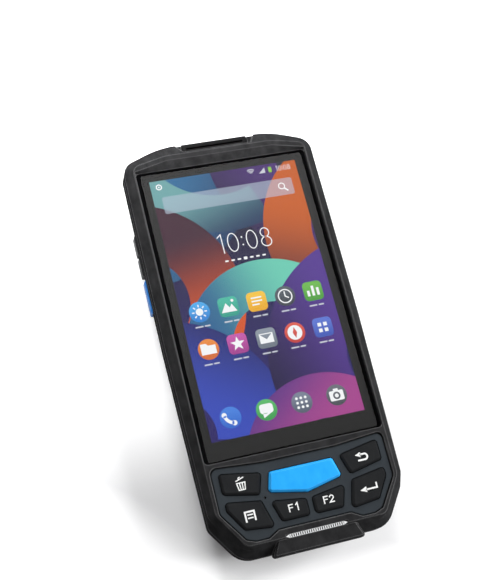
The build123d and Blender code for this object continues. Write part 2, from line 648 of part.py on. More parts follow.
def front_housing():
    """Black bezel: walls, rim, brow, notch and speaker bump, hollow from below."""
    reveal = PARTING_HEIGHT + PARTING_REVEAL
    shell = loft([body_section(PARTING_HEIGHT, PARTING_REVEAL), body_section(reveal, 0)], ruled=True)
    shell += loft([body_section(reveal, 0), shoulder_section(SHOULDER, 0)], ruled=True)
    shell += loft([shoulder_section(SHOULDER, 0), rim_section(RIM_FACE)], ruled=True)
    shell -= slab(plate_section(-PLATE_FIT), PLATE_UNDERSIDE, RIM_FACE + RIM_HEIGHT)
    shell = fillet(level_edges(shell, RIM_FACE), RIM_SOFTNESS)
    shell -= brow_hollow()
    shell -= display_opening(GLASS_UNDERSIDE, RIM_FACE + RIM_HEIGHT)
    shell += speaker_bump()
    shell -= panel_opening(PLATE_FIT)
    shell -= slab(plate_section(PLATE_LEDGE), PARTING_HEIGHT, PLATE_UNDERSIDE)
    cavity = slab(shoulder_section(0, WALL), PARTING_HEIGHT, CASE_LEDGE)
    for boss in screw_columns(BOSS_RADIUS, PARTING_HEIGHT, CASE_LEDGE):
        cavity -= boss
    shell -= cavity
    shell -= speaker_opening()
    recess_depth = GRILLE_SUNK + GRILLE_THICKNESS + MESH_THICKNESS
    recess = Box(GRILLE_LENGTH + SEAT_GAP, GRILLE_WIDTH + SEAT_GAP, 2 * recess_depth)
    shell -= on_bump(recess, 0)
    shell -= on_bump(Box(SPEAKER_LENGTH - WALL, GRILLE_WIDTH / 2, 4 * WALL), 0)
    shell -= scan_notch()
    shell -= bezel_opening()
    shell -= housing_seal()
    for hole in screw_columns(INSERT_RADIUS, PARTING_HEIGHT, INSERT_TOP):
        shell -= hole
    return shell


def rear_housing():
    """Black tub: tapered skin, battery bay, screw bosses and the openings in its walls."""
    profile = [(PARTING_HEIGHT - PARTING_REVEAL, 0.0)] + BACK_PROFILE
    sections = [body_section(height, distance) for height, distance in profile]
    outer = loft([body_section(PARTING_HEIGHT, PARTING_REVEAL), sections[0]], ruled=True)
    cavity = slab(body_section(0, WALL), profile[0][0], PARTING_HEIGHT)
    inner_profile = [(max(height, BACK_WALL), distance + WALL) for height, distance in profile]
    inner = [body_section(height, distance) for height, distance in inner_profile]
    for above, below in zip(sections, sections[1:]):
        outer += loft([above, below], ruled=True)
    for above, below in zip(inner, inner[1:]):
        cavity += loft([above, below], ruled=True)

    cavity -= block(
        (-DOOR_HALF - TRUNNION_LENGTH - BAY_WALL, DOOR_HALF + TRUNNION_LENGTH + BAY_WALL),
        (DOOR_LOW_Y - LATCH_TRAVEL - BAY_WALL, DOOR_TOP_Y + BAY_WALL),
        (0, SEAL_TOP + BAY_WALL),
    )
    cavity -= block(
        (-BAY_HALF - BAY_WALL, BAY_HALF + BAY_WALL),
        (BAY_LOW_Y - BAY_WALL, BAY_TOP_Y + BAY_WALL),
        (0, BAY_CEILING),
    )
    for boss in screw_columns(BOSS_RADIUS, 0, PARTING_HEIGHT):
        cavity -= boss
    for x in (-PORT_BOARD_HALF, PORT_BOARD_HALF):
        cavity -= rod(POST_RADIUS, 0, PORT_BOARD_LOW, x, BODY_BOTTOM + PORT_BOARD_LENGTH)
    housing = outer - cavity

    housing -= block((-BAY_HALF, BAY_HALF), (BAY_LOW_Y, BAY_TOP_Y), (0, BAY_HEIGHT))
    housing -= block(
        (-CONTACT_HALF - SEAT_GAP, CONTACT_HALF + SEAT_GAP),
        (BAY_TOP_Y - CONTACT_LENGTH - SEAT_GAP, BAY_TOP_Y),
        (BAY_HEIGHT, BAY_CEILING),
    )
    housing -= door_recess()
    for x in (-1, 1):
        socket_start = x * DOOR_HALF
        socket_end = x * (DOOR_HALF + TRUNNION_LENGTH + DOOR_GAP)
        housing -= cross_rod(DOOR_TRUNNION + TRUNNION_CLEARANCE, min(socket_start, socket_end),
                             max(socket_start, socket_end), DOOR_AXIS_Y, DOOR_AXIS_Z)
    keeper_low = LATCH_FLANGE_LOW - LATCH_FIT
    keeper_high = LATCH_FLANGE_LOW + LATCH_FLANGE + LATCH_FIT
    housing -= block(
        (-LATCH_WIDTH / 2 - LATCH_FIT, LATCH_WIDTH / 2 + LATCH_FIT),
        (DOOR_LOW_Y - DOOR_GAP - LATCH_TRAVEL, DOOR_LOW_Y),
        (keeper_low, keeper_high),
    )

    housing -= side_key_openings()
    housing -= bezel_opening()
    housing -= housing_seal()
    housing -= cover_recess()
    housing -= speaker_opening()
    for x, y, radius in camera_holes():
        housing -= rod(radius + SEAT_GAP, 0, WINDOW_SUNK + WINDOW_THICKNESS, x, y)
        housing -= rod(radius - WINDOW_LEDGE, 0, BACK_WALL, x, y)
    for well in screw_columns(SCREW_WELL_RADIUS, -BACK_WALL, SCREW_SEAT):
        housing -= well
    for hole in screw_columns(SCREW_HOLE_RADIUS, SCREW_SEAT, PARTING_HEIGHT):
        housing -= hole
    return housing


def door_recess():
    """Cutter for the battery door's seat, with a round end at the hinge."""
    corners = [
        (DOOR_HALF + DOOR_GAP, DOOR_TOP_Y + DOOR_GAP),
        (DOOR_HALF + DOOR_GAP, DOOR_LOW_Y - DOOR_GAP),
        (-DOOR_HALF - DOOR_GAP, DOOR_LOW_Y - DOOR_GAP),
        (-DOOR_HALF - DOOR_GAP, DOOR_TOP_Y + DOOR_GAP),
    ]
    return slab(rounded(corners, [0, DOOR_CORNER, DOOR_CORNER, 0]), -BACK_WALL, SEAL_TOP)


def cover_recess():
    """Cutter for the port cover's seat, its hinge sockets and the port's mouth."""
    half = COVER_WIDTH / 2 + COVER_FIT
    recess = block(
        (-half, half),
        (BODY_BOTTOM - WALL, COVER_BACK + COVER_FIT),
        (COVER_LOW - COVER_FIT, COVER_TOP + COVER_FIT),
    )
    socket_half = COVER_WIDTH / 2 + COVER_PIN_LENGTH + COVER_FIT
    recess += cross_rod(COVER_PIN + TRUNNION_CLEARANCE, -socket_half, socket_half,
                        COVER_AXIS_Y, COVER_AXIS_Z)
    mouth_half = PORT_WIDTH / 2 + PLATE_FIT
    mouth_rise = PORT_HEIGHT / 2 + PLATE_FIT
    return recess + block(
        (-mouth_half, mouth_half),
        (COVER_BACK, PORT_FRONT + WALL),
        (PORT_LEVEL - mouth_rise, PORT_LEVEL + mouth_rise),
    )


def side_key_spans():
    """Y limits of each side key: two short keys and the trigger on the left, two on the right."""
    first = GLASS_TOP - UPPER_SIDE_KEY
    second = first - VOLUME_KEY_LENGTH - SIDE_KEY_SPACE
    trigger = second - VOLUME_KEY_LENGTH - TRIGGER_SPACE
    return {
        "volume_up_key": (-1, first - VOLUME_KEY_LENGTH, first),
        "volume_down_key": (-1, second - VOLUME_KEY_LENGTH, second),
        "left_trigger": (-1, trigger - TRIGGER_LENGTH, trigger),
        "power_key": (1, first - VOLUME_KEY_LENGTH, first),
        "right_trigger": (1, trigger - TRIGGER_LENGTH, trigger),
    }


def side_block(side, x_in, x_out, y_span, z_span):
    """Box on the left (-1) or right (1) side, between two distances from the middle plane."""
    return block(sorted((side * x_in, side * x_out)), y_span, z_span)


def side_key_openings():
    """Cutters for the side keys' holes in the walls and the flat pockets behind them."""
    half = SIDE_KEY_WIDTH / 2 + SIDE_KEY_GAP
    cutters = Part()
    for side, low, high in side_key_spans().values():
        span = (low - SIDE_KEY_GAP, high + SIDE_KEY_GAP)
        for x_in, x_out, reach in (
            (SIDE_POCKET - WALL, SIDE_KEY_FACE + WALL, half),
            (SIDE_BOARD_IN - WALL, SIDE_POCKET, half + SIDE_KEY_FLANGE),
        ):
            level = (SIDE_KEY_LEVEL - reach, SIDE_KEY_LEVEL + reach)
            cutters += side_block(side, x_in, x_out, span, level)
    return cutters


def camera_holes():
    """Centre and radius of the camera window and the flash lens in the back."""
    return [
        (-CAMERA_OFFSET, CAMERA_Y, CAMERA_RADIUS),
        (-CAMERA_OFFSET + FLASH_SPACING, CAMERA_Y, FLASH_RADIUS),
    ]


def housing_seal():
    """Rubber line between the two housings, half in a groove of each. It stops at the bezel."""
    low = PARTING_HEIGHT - CASE_SEAL_HEIGHT / 2
    high = PARTING_HEIGHT + CASE_SEAL_HEIGHT / 2
    ring = slab(body_section(0, CASE_SEAL_INSET), low, high)
    ring -= slab(body_section(0, CASE_SEAL_INSET + SEAL_THICKNESS), low, high)
    return ring - bezel_opening()


def thread_inserts():
    """Brass inserts in the front housing's bosses."""
    inserts = []
    for x, y in SCREW_POINTS:
        inserts.append(rod(INSERT_RADIUS, INSERT_LOW, INSERT_TOP, x, y)
                       - rod(SCREW_RADIUS + TRUNNION_CLEARANCE, INSERT_LOW, INSERT_TOP, x, y))
    return Compound(inserts)


def housing_screws():
    """Screws that close the casing from the back, with a cross recess in each head."""
    screws = []
    for x, y in SCREW_POINTS:
        screw = rod(SCREW_HEAD_RADIUS, SCREW_SEAT - SCREW_HEAD_HEIGHT, SCREW_SEAT, x, y)
        screw += rod(SCREW_RADIUS, SCREW_SEAT, INSERT_TOP - SEAT_GAP, x, y)
        for angle in (0, 90):
            slot = Rot(0, 0, angle) * Box(SCREW_CROSS_LENGTH, SCREW_CROSS_WIDTH, SCREW_HEAD_HEIGHT)
            screw -= Pos(x, y, SCREW_SEAT - SCREW_HEAD_HEIGHT) * slot
        screws.append(screw)
    return Compound(screws)


# ---------------------------------------------------------------- display
def display_glass():
    """Cover glass with a small bevel along its outer edge."""
    corners = both_sides([(GLASS_WIDTH / 2, GLASS_TOP), (GLASS_WIDTH / 2, GLASS_BOTTOM)])
    glass = slab(rounded(corners, GLASS_CORNER), GLASS_UNDERSIDE, GLASS_FACE)
    return chamfer(level_edges(glass, GLASS_FACE), GLASS_BEVEL)


def display_gasket():
    """Black seal that fills the gap between the glass and the bezel."""
    ring = display_opening(GLASS_UNDERSIDE, GLASS_FACE - GASKET_SUNK)
    corners = both_sides([(GLASS_WIDTH / 2, GLASS_TOP), (GLASS_WIDTH / 2, GLASS_BOTTOM)])
    return ring - slab(rounded(corners, GLASS_CORNER), GLASS_UNDERSIDE, GLASS_FACE)


def display_module():
    """Display panel, glued to the underside of the glass."""
    return block((-PANEL_HALF, PANEL_HALF), (PANEL_BOTTOM, PANEL_TOP),
                 (PANEL_UNDERSIDE, GLASS_UNDERSIDE))


def chassis():
    """Metal midframe under the display, with standoffs for the main board."""
    corners = both_sides([
        (BODY_HALF - TOP_CHAMFER_RUN, BEZEL_BACK - BEZEL_FIT),
        (CHASSIS_HALF, GLASS_TOP),
        (CHASSIS_HALF, GLASS_BOTTOM),
    ])
    plate = slab(rounded(corners, MINIMUM_RADIUS), CHASSIS_LOW, PANEL_UNDERSIDE)
    for x in (-BOARD_HALF + STANDOFF_INSET, BOARD_HALF - STANDOFF_INSET):
        for y in (BOARD_TOP_Y - STANDOFF_INSET, STANDOFF_LOW_Y):
            plate += rod(STANDOFF_RADIUS, BOARD_TOP, CHASSIS_LOW, x, y)
    for boss in screw_columns(BOSS_RADIUS + PLATE_FIT, CHASSIS_LOW, PANEL_UNDERSIDE):
        plate -= boss
    return plate


# ---------------------------------------------------------------- keypad
def keypad_plate():
    """Blue-grey panel with a hole for each key and a pin hole for the microphone."""
    plate = slab(plate_section(0), PLATE_UNDERSIDE, PLATE_FACE)
    plate = chamfer(level_edges(plate, PLATE_FACE), PLATE_BEVEL)
    for face in key_sections().values():
        plate -= slab(offset(face, KEY_GAP), PLATE_UNDERSIDE, PLATE_FACE)
    return plate - rod(MIC_HOLE_RADIUS, PLATE_UNDERSIDE, PLATE_FACE, MIC_X, MIC_Y)


def front_key(face):
    """Key cap with a bevelled top and a skirt that the plate holds back."""
    cap = slab(face, FLANGE_TOP, PLATE_FACE + KEY_RISE)
    cap = chamfer(level_edges(cap, PLATE_FACE + KEY_RISE), KEY_BEVEL)
    room = slab(plate_section(PLATE_LEDGE + PLATE_FIT), FLANGE_LOW, FLANGE_TOP)
    return cap + (slab(offset(face, KEY_FLANGE), FLANGE_LOW, FLANGE_TOP) & room)


def keypad_mat():
    """Rubber sheet between the keys and the domes, open over the microphone."""
    sheet = slab(plate_section(PLATE_LEDGE + SEAT_GAP), DOME_TOP, MAT_TOP)
    return sheet - rod(MIC_RADIUS + PLATE_FIT, DOME_TOP, MAT_TOP, MIC_X, MIC_Y)


def keypad_board():
    """Board under the keys. It seats on the ledge round the keypad opening."""
    board = slab(plate_section(SEAT_GAP), KEYPAD_BOARD_LOW, KEYPAD_BOARD_TOP)
    for boss in screw_columns(BOSS_RADIUS + PLATE_FIT, KEYPAD_BOARD_LOW, KEYPAD_BOARD_TOP):
        board -= boss
    return board


def dome_switches():
    """One snap dome under the middle of each key."""
    domes = []
    for face in key_sections().values():
        middle = face.bounding_box().center()
        domes.append(rod(DOME_RADIUS, KEYPAD_BOARD_TOP, DOME_TOP, middle.X, middle.Y))
    return Compound(domes)


def microphone():
    """Microphone capsule on the keypad board, below the pin hole."""
    return rod(MIC_RADIUS, KEYPAD_BOARD_TOP, KEYPAD_BOARD_TOP + MIC_HEIGHT, MIC_X, MIC_Y)


# ---------------------------------------------------------------- side keys
def side_key(side, low, high):
    """Key in a side wall: a rounded cap outside and a skirt above and below, behind the wall."""
    half = SIDE_KEY_WIDTH / 2
    level = (SIDE_KEY_LEVEL - half, SIDE_KEY_LEVEL + half)
    cap = side_block(side, SIDE_FLANGE_IN, SIDE_KEY_FACE, (low, high), level)
    outer_face = cap.faces().sort_by(Axis.X)[-1 if side > 0 else 0]
    cap = fillet(outer_face.edges(), SIDE_KEY_SOFTNESS)
    level = (SIDE_KEY_LEVEL - half - SIDE_KEY_FLANGE, SIDE_KEY_LEVEL + half + SIDE_KEY_FLANGE)
    return cap + side_block(side, SIDE_FLANGE_IN, SIDE_FLANGE_OUT, (low, high), level)


def side_key_board(side):
    """Upright board behind the side keys of one side, hung from the chassis."""
    spans = [span for span in side_key_spans().values() if span[0] == side]
    return side_block(
        side, SIDE_BOARD_IN, SIDE_BOARD_OUT,
        (min(low for _, low, _ in spans), max(high for _, _, high in spans)),
        (SIDE_KEY_LEVEL - SIDE_KEY_WIDTH / 2, CHASSIS_LOW),
    )


def side_switches():
    """A small push switch behind the middle of each side key."""
    half = SIDE_SWITCH_SIZE / 2
    switches = []
    for side, low, high in side_key_spans().values():
        middle = (low + high) / 2
        switches.append(side_block(
            side, SIDE_BOARD_OUT, SIDE_SWITCH_OUT, (middle - half, middle + half),
            (SIDE_KEY_LEVEL - half, SIDE_KEY_LEVEL + half),
        ))
    return Compound(switches)


# ---------------------------------------------------------------- scanning end
def window_bezel():
    """Frame in the scanning end, with a slot in its upper face that the pane slides into."""
    frame = block((-BEZEL_HALF, BEZEL_HALF), (BEZEL_BACK, BEZEL_FRONT), (BEZEL_LOW, BEZEL_TOP))
    frame = chamfer(frame.faces().sort_by(Axis.Y)[-1].edges(), BEZEL_BEVEL)
    aperture_half = BEZEL_HALF - BEZEL_FRAME
    aperture = (BEZEL_LOW + BEZEL_FRAME, BEZEL_TOP - BEZEL_FRAME)
    frame -= block((-aperture_half, aperture_half), (BEZEL_BACK, BEZEL_FRONT), aperture)
    slot_half = aperture_half + PANE_REBATE
    return frame - block((-slot_half, slot_half), (PANE_BACK, PANE_FRONT),
                         (aperture[0] - PANE_REBATE, BEZEL_TOP))


def scan_window():
    """Pane in the bezel's slot."""
    half = BEZEL_HALF - BEZEL_FRAME + PANE_REBATE - SEAT_GAP
    low = BEZEL_LOW + BEZEL_FRAME - PANE_REBATE
    high = BEZEL_TOP - BEZEL_FRAME + PANE_REBATE
    return block((-half, half), (PANE_BACK + SEAT_GAP / 2, PANE_FRONT - SEAT_GAP / 2), (low, high))


def scan_engine():
    """Scan engine: a body with an imaging lens and an aiming lens that face the window."""
    level = (ENGINE_TOP + ENGINE_LOW) / 2
    front = BEZEL_BACK - ENGINE_LENS
    body = block((-ENGINE_WIDTH / 2, ENGINE_WIDTH / 2), (front - ENGINE_LENGTH, front),
                 (ENGINE_LOW, ENGINE_TOP))
    for x, radius in ((-IMAGER_OFFSET, IMAGER_RADIUS), (AIMER_OFFSET, AIMER_RADIUS)):
        barrel = Pos(x, front + ENGINE_LENS / 2, level) * Rot(90, 0, 0) * Cylinder(radius, ENGINE_LENS)
        body += barrel
    return body


def engine_bracket():
    """Plate that hangs the scan engine from the chassis."""
    half = ENGINE_WIDTH / 2 + WALL
    front = BEZEL_BACK - ENGINE_LENS
    return block((-half, half), (front - ENGINE_LENGTH + WALL, front - WALL), (ENGINE_TOP, CHASSIS_LOW))


# ---------------------------------------------------------------- boards and inner parts
def main_board():
    """Main board, held by the chassis standoffs."""
    board = block((-BOARD_HALF, BOARD_HALF), (BOARD_LOW_Y, BOARD_TOP_Y), (BOARD_LOW, BOARD_TOP))
    for boss in screw_columns(BOSS_RADIUS + PLATE_FIT, BOARD_LOW, BOARD_TOP):
        board -= boss
    return board


def shield_cans():
    """Three screening cans on the underside of the main board."""
    below = BAY_TOP_Y - CONTACT_LENGTH - CAN_GAP
    above = BAY_TOP_Y + CAN_GAP
    places = [(x, below - length / 2, width, length) for x, width, length in CANS_BELOW]
    places += [(x, above + length / 2, width, length) for x, width, length in CANS_ABOVE]
    cans = []
    for x, y, width, length in places:
        can = Pos(x, y, BOARD_LOW - CAN_HEIGHT / 2) * Box(width, length, CAN_HEIGHT)
        cans.append(fillet(can.edges().filter_by(Axis.Z), MINIMUM_RADIUS))
    return Compound(cans)


def vibration_motor():
    """Cylinder motor on the underside of the main board, beside the camera."""
    x = BOARD_HALF - MOTOR_INSET
    middle = Pos(x, CAMERA_Y, BOARD_LOW - MOTOR_RADIUS)
    return middle * Rot(90, 0, 0) * Cylinder(MOTOR_RADIUS, MOTOR_LENGTH)


def antenna():
    """Antenna strip on the underside of the chassis, beside the right wall."""
    end = CHASSIS_HALF - WALL
    return block((end - ANTENNA_LENGTH, end), (GLASS_TOP - ANTENNA_WIDTH - WALL, GLASS_TOP - WALL),
                 (CHASSIS_LOW - ANTENNA_THICKNESS, CHASSIS_LOW))


def speaker():
    """Speaker box under the bump."""
    return block(
        (-SPEAKER_LENGTH / 2, SPEAKER_LENGTH / 2),
        (SPEAKER_Y - SPEAKER_WIDTH / 2, SPEAKER_Y + SPEAKER_WIDTH / 2),
        (SPEAKER_TOP - SPEAKER_HEIGHT, SPEAKER_TOP),
    )


def speaker_grille():
    """Metal strip with a row of ribs and a pointed lobe at each end."""
    inner_half = GRILLE_LENGTH / 2 - GRILLE_END
    pitch = 2 * inner_half / GRILLE_RIBS
    rail = GRILLE_RAIL
    strip = Part()
    for side in (-1, 1):
        y = side * (GRILLE_WIDTH - rail) / 2
        strip += Pos(0, y, 0) * Box(2 * inner_half, rail, GRILLE_THICKNESS)
        tip = make_face(Polyline(
            (side * inner_half, -GRILLE_WIDTH / 2),
            (side * inner_half, GRILLE_WIDTH / 2),
            (side * GRILLE_LENGTH / 2, 0),
            close=True,
        ))
        strip += Pos(0, 0, -GRILLE_THICKNESS / 2) * extrude(tip, GRILLE_THICKNESS)
    for index in range(GRILLE_RIBS):
        x = -inner_half + pitch * (index + 0.5)
        strip += Pos(x, 0, 0) * Box(pitch / 2, GRILLE_WIDTH, GRILLE_THICKNESS)
    return on_bump(strip, GRILLE_SUNK + GRILLE_THICKNESS / 2)


def speaker_mesh():
    """Dark dust mesh under the grille."""
    sheet = Box(GRILLE_LENGTH, GRILLE_WIDTH, MESH_THICKNESS)
    return on_bump(sheet, GRILLE_SUNK + GRILLE_THICKNESS + MESH_THICKNESS / 2)


def usb_socket():
    """Metal shell of the data port with its tongue."""
    outer = block((-PORT_WIDTH / 2, PORT_WIDTH / 2), (PORT_FRONT, PORT_FRONT + PORT_LENGTH),
                  (PORT_LEVEL - PORT_HEIGHT / 2, PORT_LEVEL + PORT_HEIGHT / 2))
    outer = fillet(outer.edges().filter_by(Axis.Y), MINIMUM_RADIUS)
    mouth = block(
        (-PORT_WIDTH / 2 + PORT_SHELL, PORT_WIDTH / 2 - PORT_SHELL),
        (PORT_FRONT, PORT_FRONT + PORT_LENGTH - MINIMUM_RADIUS),
        (PORT_LEVEL - PORT_HEIGHT / 2 + PORT_SHELL, PORT_LEVEL + PORT_HEIGHT / 2 - PORT_SHELL),
    )
    tongue = block((-PORT_WIDTH / 4, PORT_WIDTH / 4), (PORT_FRONT + MINIMUM_RADIUS,
                   PORT_FRONT + PORT_LENGTH), (PORT_LEVEL - PORT_SHELL, PORT_LEVEL + PORT_SHELL))
    return outer - mouth + tongue


def port_board():
    """Board that carries the data port, on two posts of the rear housing."""
    half = PORT_BOARD_HALF + POST_RADIUS
    return block((-half, half), (PORT_FRONT, BODY_BOTTOM + PORT_BOARD_LENGTH + POST_RADIUS),
                 (PORT_BOARD_LOW, PORT_BOARD_LOW + BOARD_THICKNESS))


def port_cover():
    """Rubber cover of the data port, hinged along its upper edge, with a shallow plug."""
    half = COVER_WIDTH / 2
    cover = block((-half, half), (BODY_BOTTOM, COVER_BACK), (COVER_LOW, COVER_AXIS_Z))
    lower_corners = cover.edges().filter_by(Axis.Y).group_by(Axis.Z)[0]
    cover = fillet(lower_corners, MINIMUM_RADIUS)
    cover += cross_rod(COVER_THICKNESS / 2, -half, half, COVER_AXIS_Y, COVER_AXIS_Z)
    pin_half = half + COVER_PIN_LENGTH
    cover += cross_rod(COVER_PIN, -pin_half, pin_half, COVER_AXIS_Y, COVER_AXIS_Z)
    plug = block((-PORT_WIDTH / 2, PORT_WIDTH / 2), (COVER_BACK, COVER_BACK + PLUG_DEPTH),
                 (PORT_LEVEL - PORT_HEIGHT / 2 + PLUG_FIT, PORT_LEVEL + PORT_HEIGHT / 2 - PLUG_FIT))
    return cover + plug


def camera_module():
    """Camera block on the inner face of the back wall, with its lens in the wall's hole."""
    x, y, radius = camera_holes()[0]
    body = block((x - radius, x + radius), (y - radius, y + radius),
                 (BACK_WALL, BACK_WALL + CAMERA_HEIGHT))
    lens_radius = radius - WINDOW_LEDGE - SEAT_GAP
    return body + rod(lens_radius, WINDOW_SUNK + WINDOW_THICKNESS + SEAT_GAP, BACK_WALL, x, y)


def camera_window():
    """Clear disc over the camera, set below the back face."""
    x, y, radius = camera_holes()[0]
    return rod(radius, WINDOW_SUNK, WINDOW_SUNK + WINDOW_THICKNESS, x, y)


def flash_lens():
    """Lens of the flash light, set below the back face."""
    x, y, radius = camera_holes()[1]
    lens = rod(radius, WINDOW_SUNK, WINDOW_SUNK + WINDOW_THICKNESS, x, y)
    return lens + rod(radius - WINDOW_LEDGE - SEAT_GAP, WINDOW_SUNK, BACK_WALL, x, y)


# ---------------------------------------------------------------- battery and its door
def battery():
    """Battery pack in its bay."""
    pack = block(
        (-BAY_HALF + BATTERY_FIT, BAY_HALF - BATTERY_FIT),
        (BAY_LOW_Y + BATTERY_FIT, BAY_TOP_Y - BATTERY_FIT),
        (DOOR_THICKNESS + DOOR_GAP, BAY_HEIGHT - BATTERY_FIT),
    )
    return fillet(pack.edges().filter_by(Axis.Z), BATTERY_CORNER)


def battery_contacts():
    """Contact block between the battery and the main board."""
    return block((-CONTACT_HALF, CONTACT_HALF), (BAY_TOP_Y - CONTACT_LENGTH, BAY_TOP_Y - SEAT_GAP),
                 (BAY_HEIGHT - BATTERY_FIT, BOARD_LOW))


def door_seal():
    """Rubber ring on the ledge round the battery bay."""
    middle = (BAY_LOW_Y + BAY_TOP_Y) / 2
    ring = Rectangle(2 * (BAY_HALF + SEAL_WIDTH + SEAT_GAP), BAY_LENGTH + 2 * (SEAL_WIDTH + SEAT_GAP))
    ring -= Rectangle(2 * (BAY_HALF + SEAT_GAP), BAY_LENGTH + 2 * SEAT_GAP)
    return slab(Pos(0, middle) * ring, SEAL_TOP - SEAL_THICKNESS, SEAL_TOP)


def latch_pocket():
    """Cutter for the latch's slot in the door: a wide undercut and a narrower mouth."""
    end = DOOR_LOW_Y + LATCH_LENGTH + LATCH_FIT
    undercut = block(
        (-LATCH_WIDTH / 2 - LATCH_FIT, LATCH_WIDTH / 2 + LATCH_FIT), (DOOR_LOW_Y - WALL, end),
        (LATCH_FLANGE_LOW - LATCH_FIT, LATCH_FLANGE_LOW + LATCH_FLANGE + LATCH_FIT),
    )
    mouth_half = LATCH_THUMB_HALF + LATCH_FIT
    mouth_start = DOOR_LOW_Y + LATCH_LENGTH - LATCH_THUMB - LATCH_TRAVEL - LATCH_FIT
    return undercut + block((-mouth_half, mouth_half), (mouth_start, end), (-WALL, DOOR_THICKNESS / 2))


def battery_door():
    """Lid over the battery bay: hinged on two trunnions at one end, latched at the other."""
    corners = [
        (DOOR_HALF, DOOR_AXIS_Y),
        (DOOR_HALF, DOOR_LOW_Y),
        (-DOOR_HALF, DOOR_LOW_Y),
        (-DOOR_HALF, DOOR_AXIS_Y),
    ]
    door = slab(rounded(corners, [0, DOOR_CORNER, DOOR_CORNER, 0]), 0, DOOR_THICKNESS)
    door += cross_rod(DOOR_THICKNESS / 2, -DOOR_HALF, DOOR_HALF, DOOR_AXIS_Y, DOOR_AXIS_Z)
    trunnion_half = DOOR_HALF + TRUNNION_LENGTH
    door += cross_rod(DOOR_TRUNNION, -trunnion_half, trunnion_half, DOOR_AXIS_Y, DOOR_AXIS_Z)
    for index in range(GRIP_GROOVES):
        y = DOOR_AXIS_Y - GRIP_START - index * GRIP_PITCH
        door -= Pos(0, y, 0) * Box(GRIP_LENGTH, GRIP_PITCH / 2, 2 * GRIP_DEPTH)
    return door - latch_pocket()


def door_latch():
    """Sliding latch in the door, shown unlocked; sliding it outwards locks the door."""
    latch = block(
        (-LATCH_WIDTH / 2, LATCH_WIDTH / 2), (DOOR_LOW_Y, DOOR_LOW_Y + LATCH_LENGTH),
        (LATCH_FLANGE_LOW, LATCH_FLANGE_LOW + LATCH_FLANGE),
    )
    thumb_end = DOOR_LOW_Y + LATCH_LENGTH
    latch += block((-LATCH_THUMB_HALF, LATCH_THUMB_HALF), (thumb_end - LATCH_THUMB, thumb_end),
                   (LATCH_SUNK, LATCH_FLANGE_LOW))
    for index in range(LATCH_GROOVES):
        y = thumb_end - LATCH_THUMB * (index + 1) / (LATCH_GROOVES + 1)
        latch -= Pos(0, y, LATCH_SUNK) * Box(2 * LATCH_THUMB_HALF, LATCH_GROOVE, LATCH_GROOVE)
    return latch


# ---------------------------------------------------------------- write one file per sub-part
def all_parts():
    """Every sub-part by its node name."""
    parts = {
        "front_housing": front_housing(),
        "rear_housing": rear_housing(),
        "housing_seal": housing_seal(),
        "thread_inserts": thread_inserts(),
        "housing_screws": housing_screws(),
        "display_glass": display_glass(),
        "display_gasket": display_gasket(),
        "display_module": display_module(),
        "chassis": chassis(),
        "keypad_plate": keypad_plate(),
        "keypad_mat": keypad_mat(),
        "keypad_board": keypad_board(),
        "dome_switches": dome_switches(),
        "microphone": microphone(),
        "side_key_board_left": side_key_board(-1),
        "side_key_board_right": side_key_board(1),
        "side_switches": side_switches(),
        "window_bezel": window_bezel(),
        "scan_window": scan_window(),
        "scan_engine": scan_engine(),
        "engine_bracket": engine_bracket(),
        "main_board": main_board(),
        "shield_cans": shield_cans(),
        "vibration_motor": vibration_motor(),
        "antenna": antenna(),
        "speaker": speaker(),
        "speaker_grille": speaker_grille(),
        "speaker_mesh": speaker_mesh(),
        "usb_socket": usb_socket(),
        "port_board": port_board(),
        "port_cover": port_cover(),
        "camera_module": camera_module(),
        "camera_window": camera_window(),
        "flash_lens": flash_lens(),
        "battery": battery(),
        "battery_contacts": battery_contacts(),
        "battery_door": battery_door(),
        "door_seal": door_seal(),
        "door_latch": door_latch(),
    }
    parts.update({name: front_key(face) for name, face in key_sections().items()})
    parts.update({name: side_key(*span) for name, span in side_key_spans().items()})
    return parts


os.makedirs("parts", exist_ok=True)
for node, shape in all_parts().items():
    export_step(shape, f"parts/{node}.step")
print(f"casing {2 * BODY_HALF:.1f} x {BODY_LENGTH:.1f} x {RIM_FACE:.1f} mm, "
      f"glass centre at Y {GLASS_MIDDLE:.2f}, keypad plate at Z {PLATE_FACE:.2f}")
print(f"door hinge at Y {DOOR_AXIS_Y:.2f} Z {DOOR_AXIS_Z:.2f}, "
      f"cover hinge at Y {COVER_AXIS_Y:.2f} Z {COVER_AXIS_Z:.2f}")
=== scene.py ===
# %% [markdown]
# # A rugged barcode terminal, from bare solids to a finished product
#
# The terminal is a hand-held computer with a scan window in its top end: moulded black housings, a
# touch display, a slate keypad plate and a row of keys in the side wall. Its solids come ready made
# as a fixed frame. This lesson gives each of them a finish, and adds what no solid carries: the ink
# behind the glass, the lit picture, the printed key legends, the floor, the lamps and the camera.

# %% Load the frame
import math

import bmesh
import bpy
from mathutils import Euler, Matrix, Vector


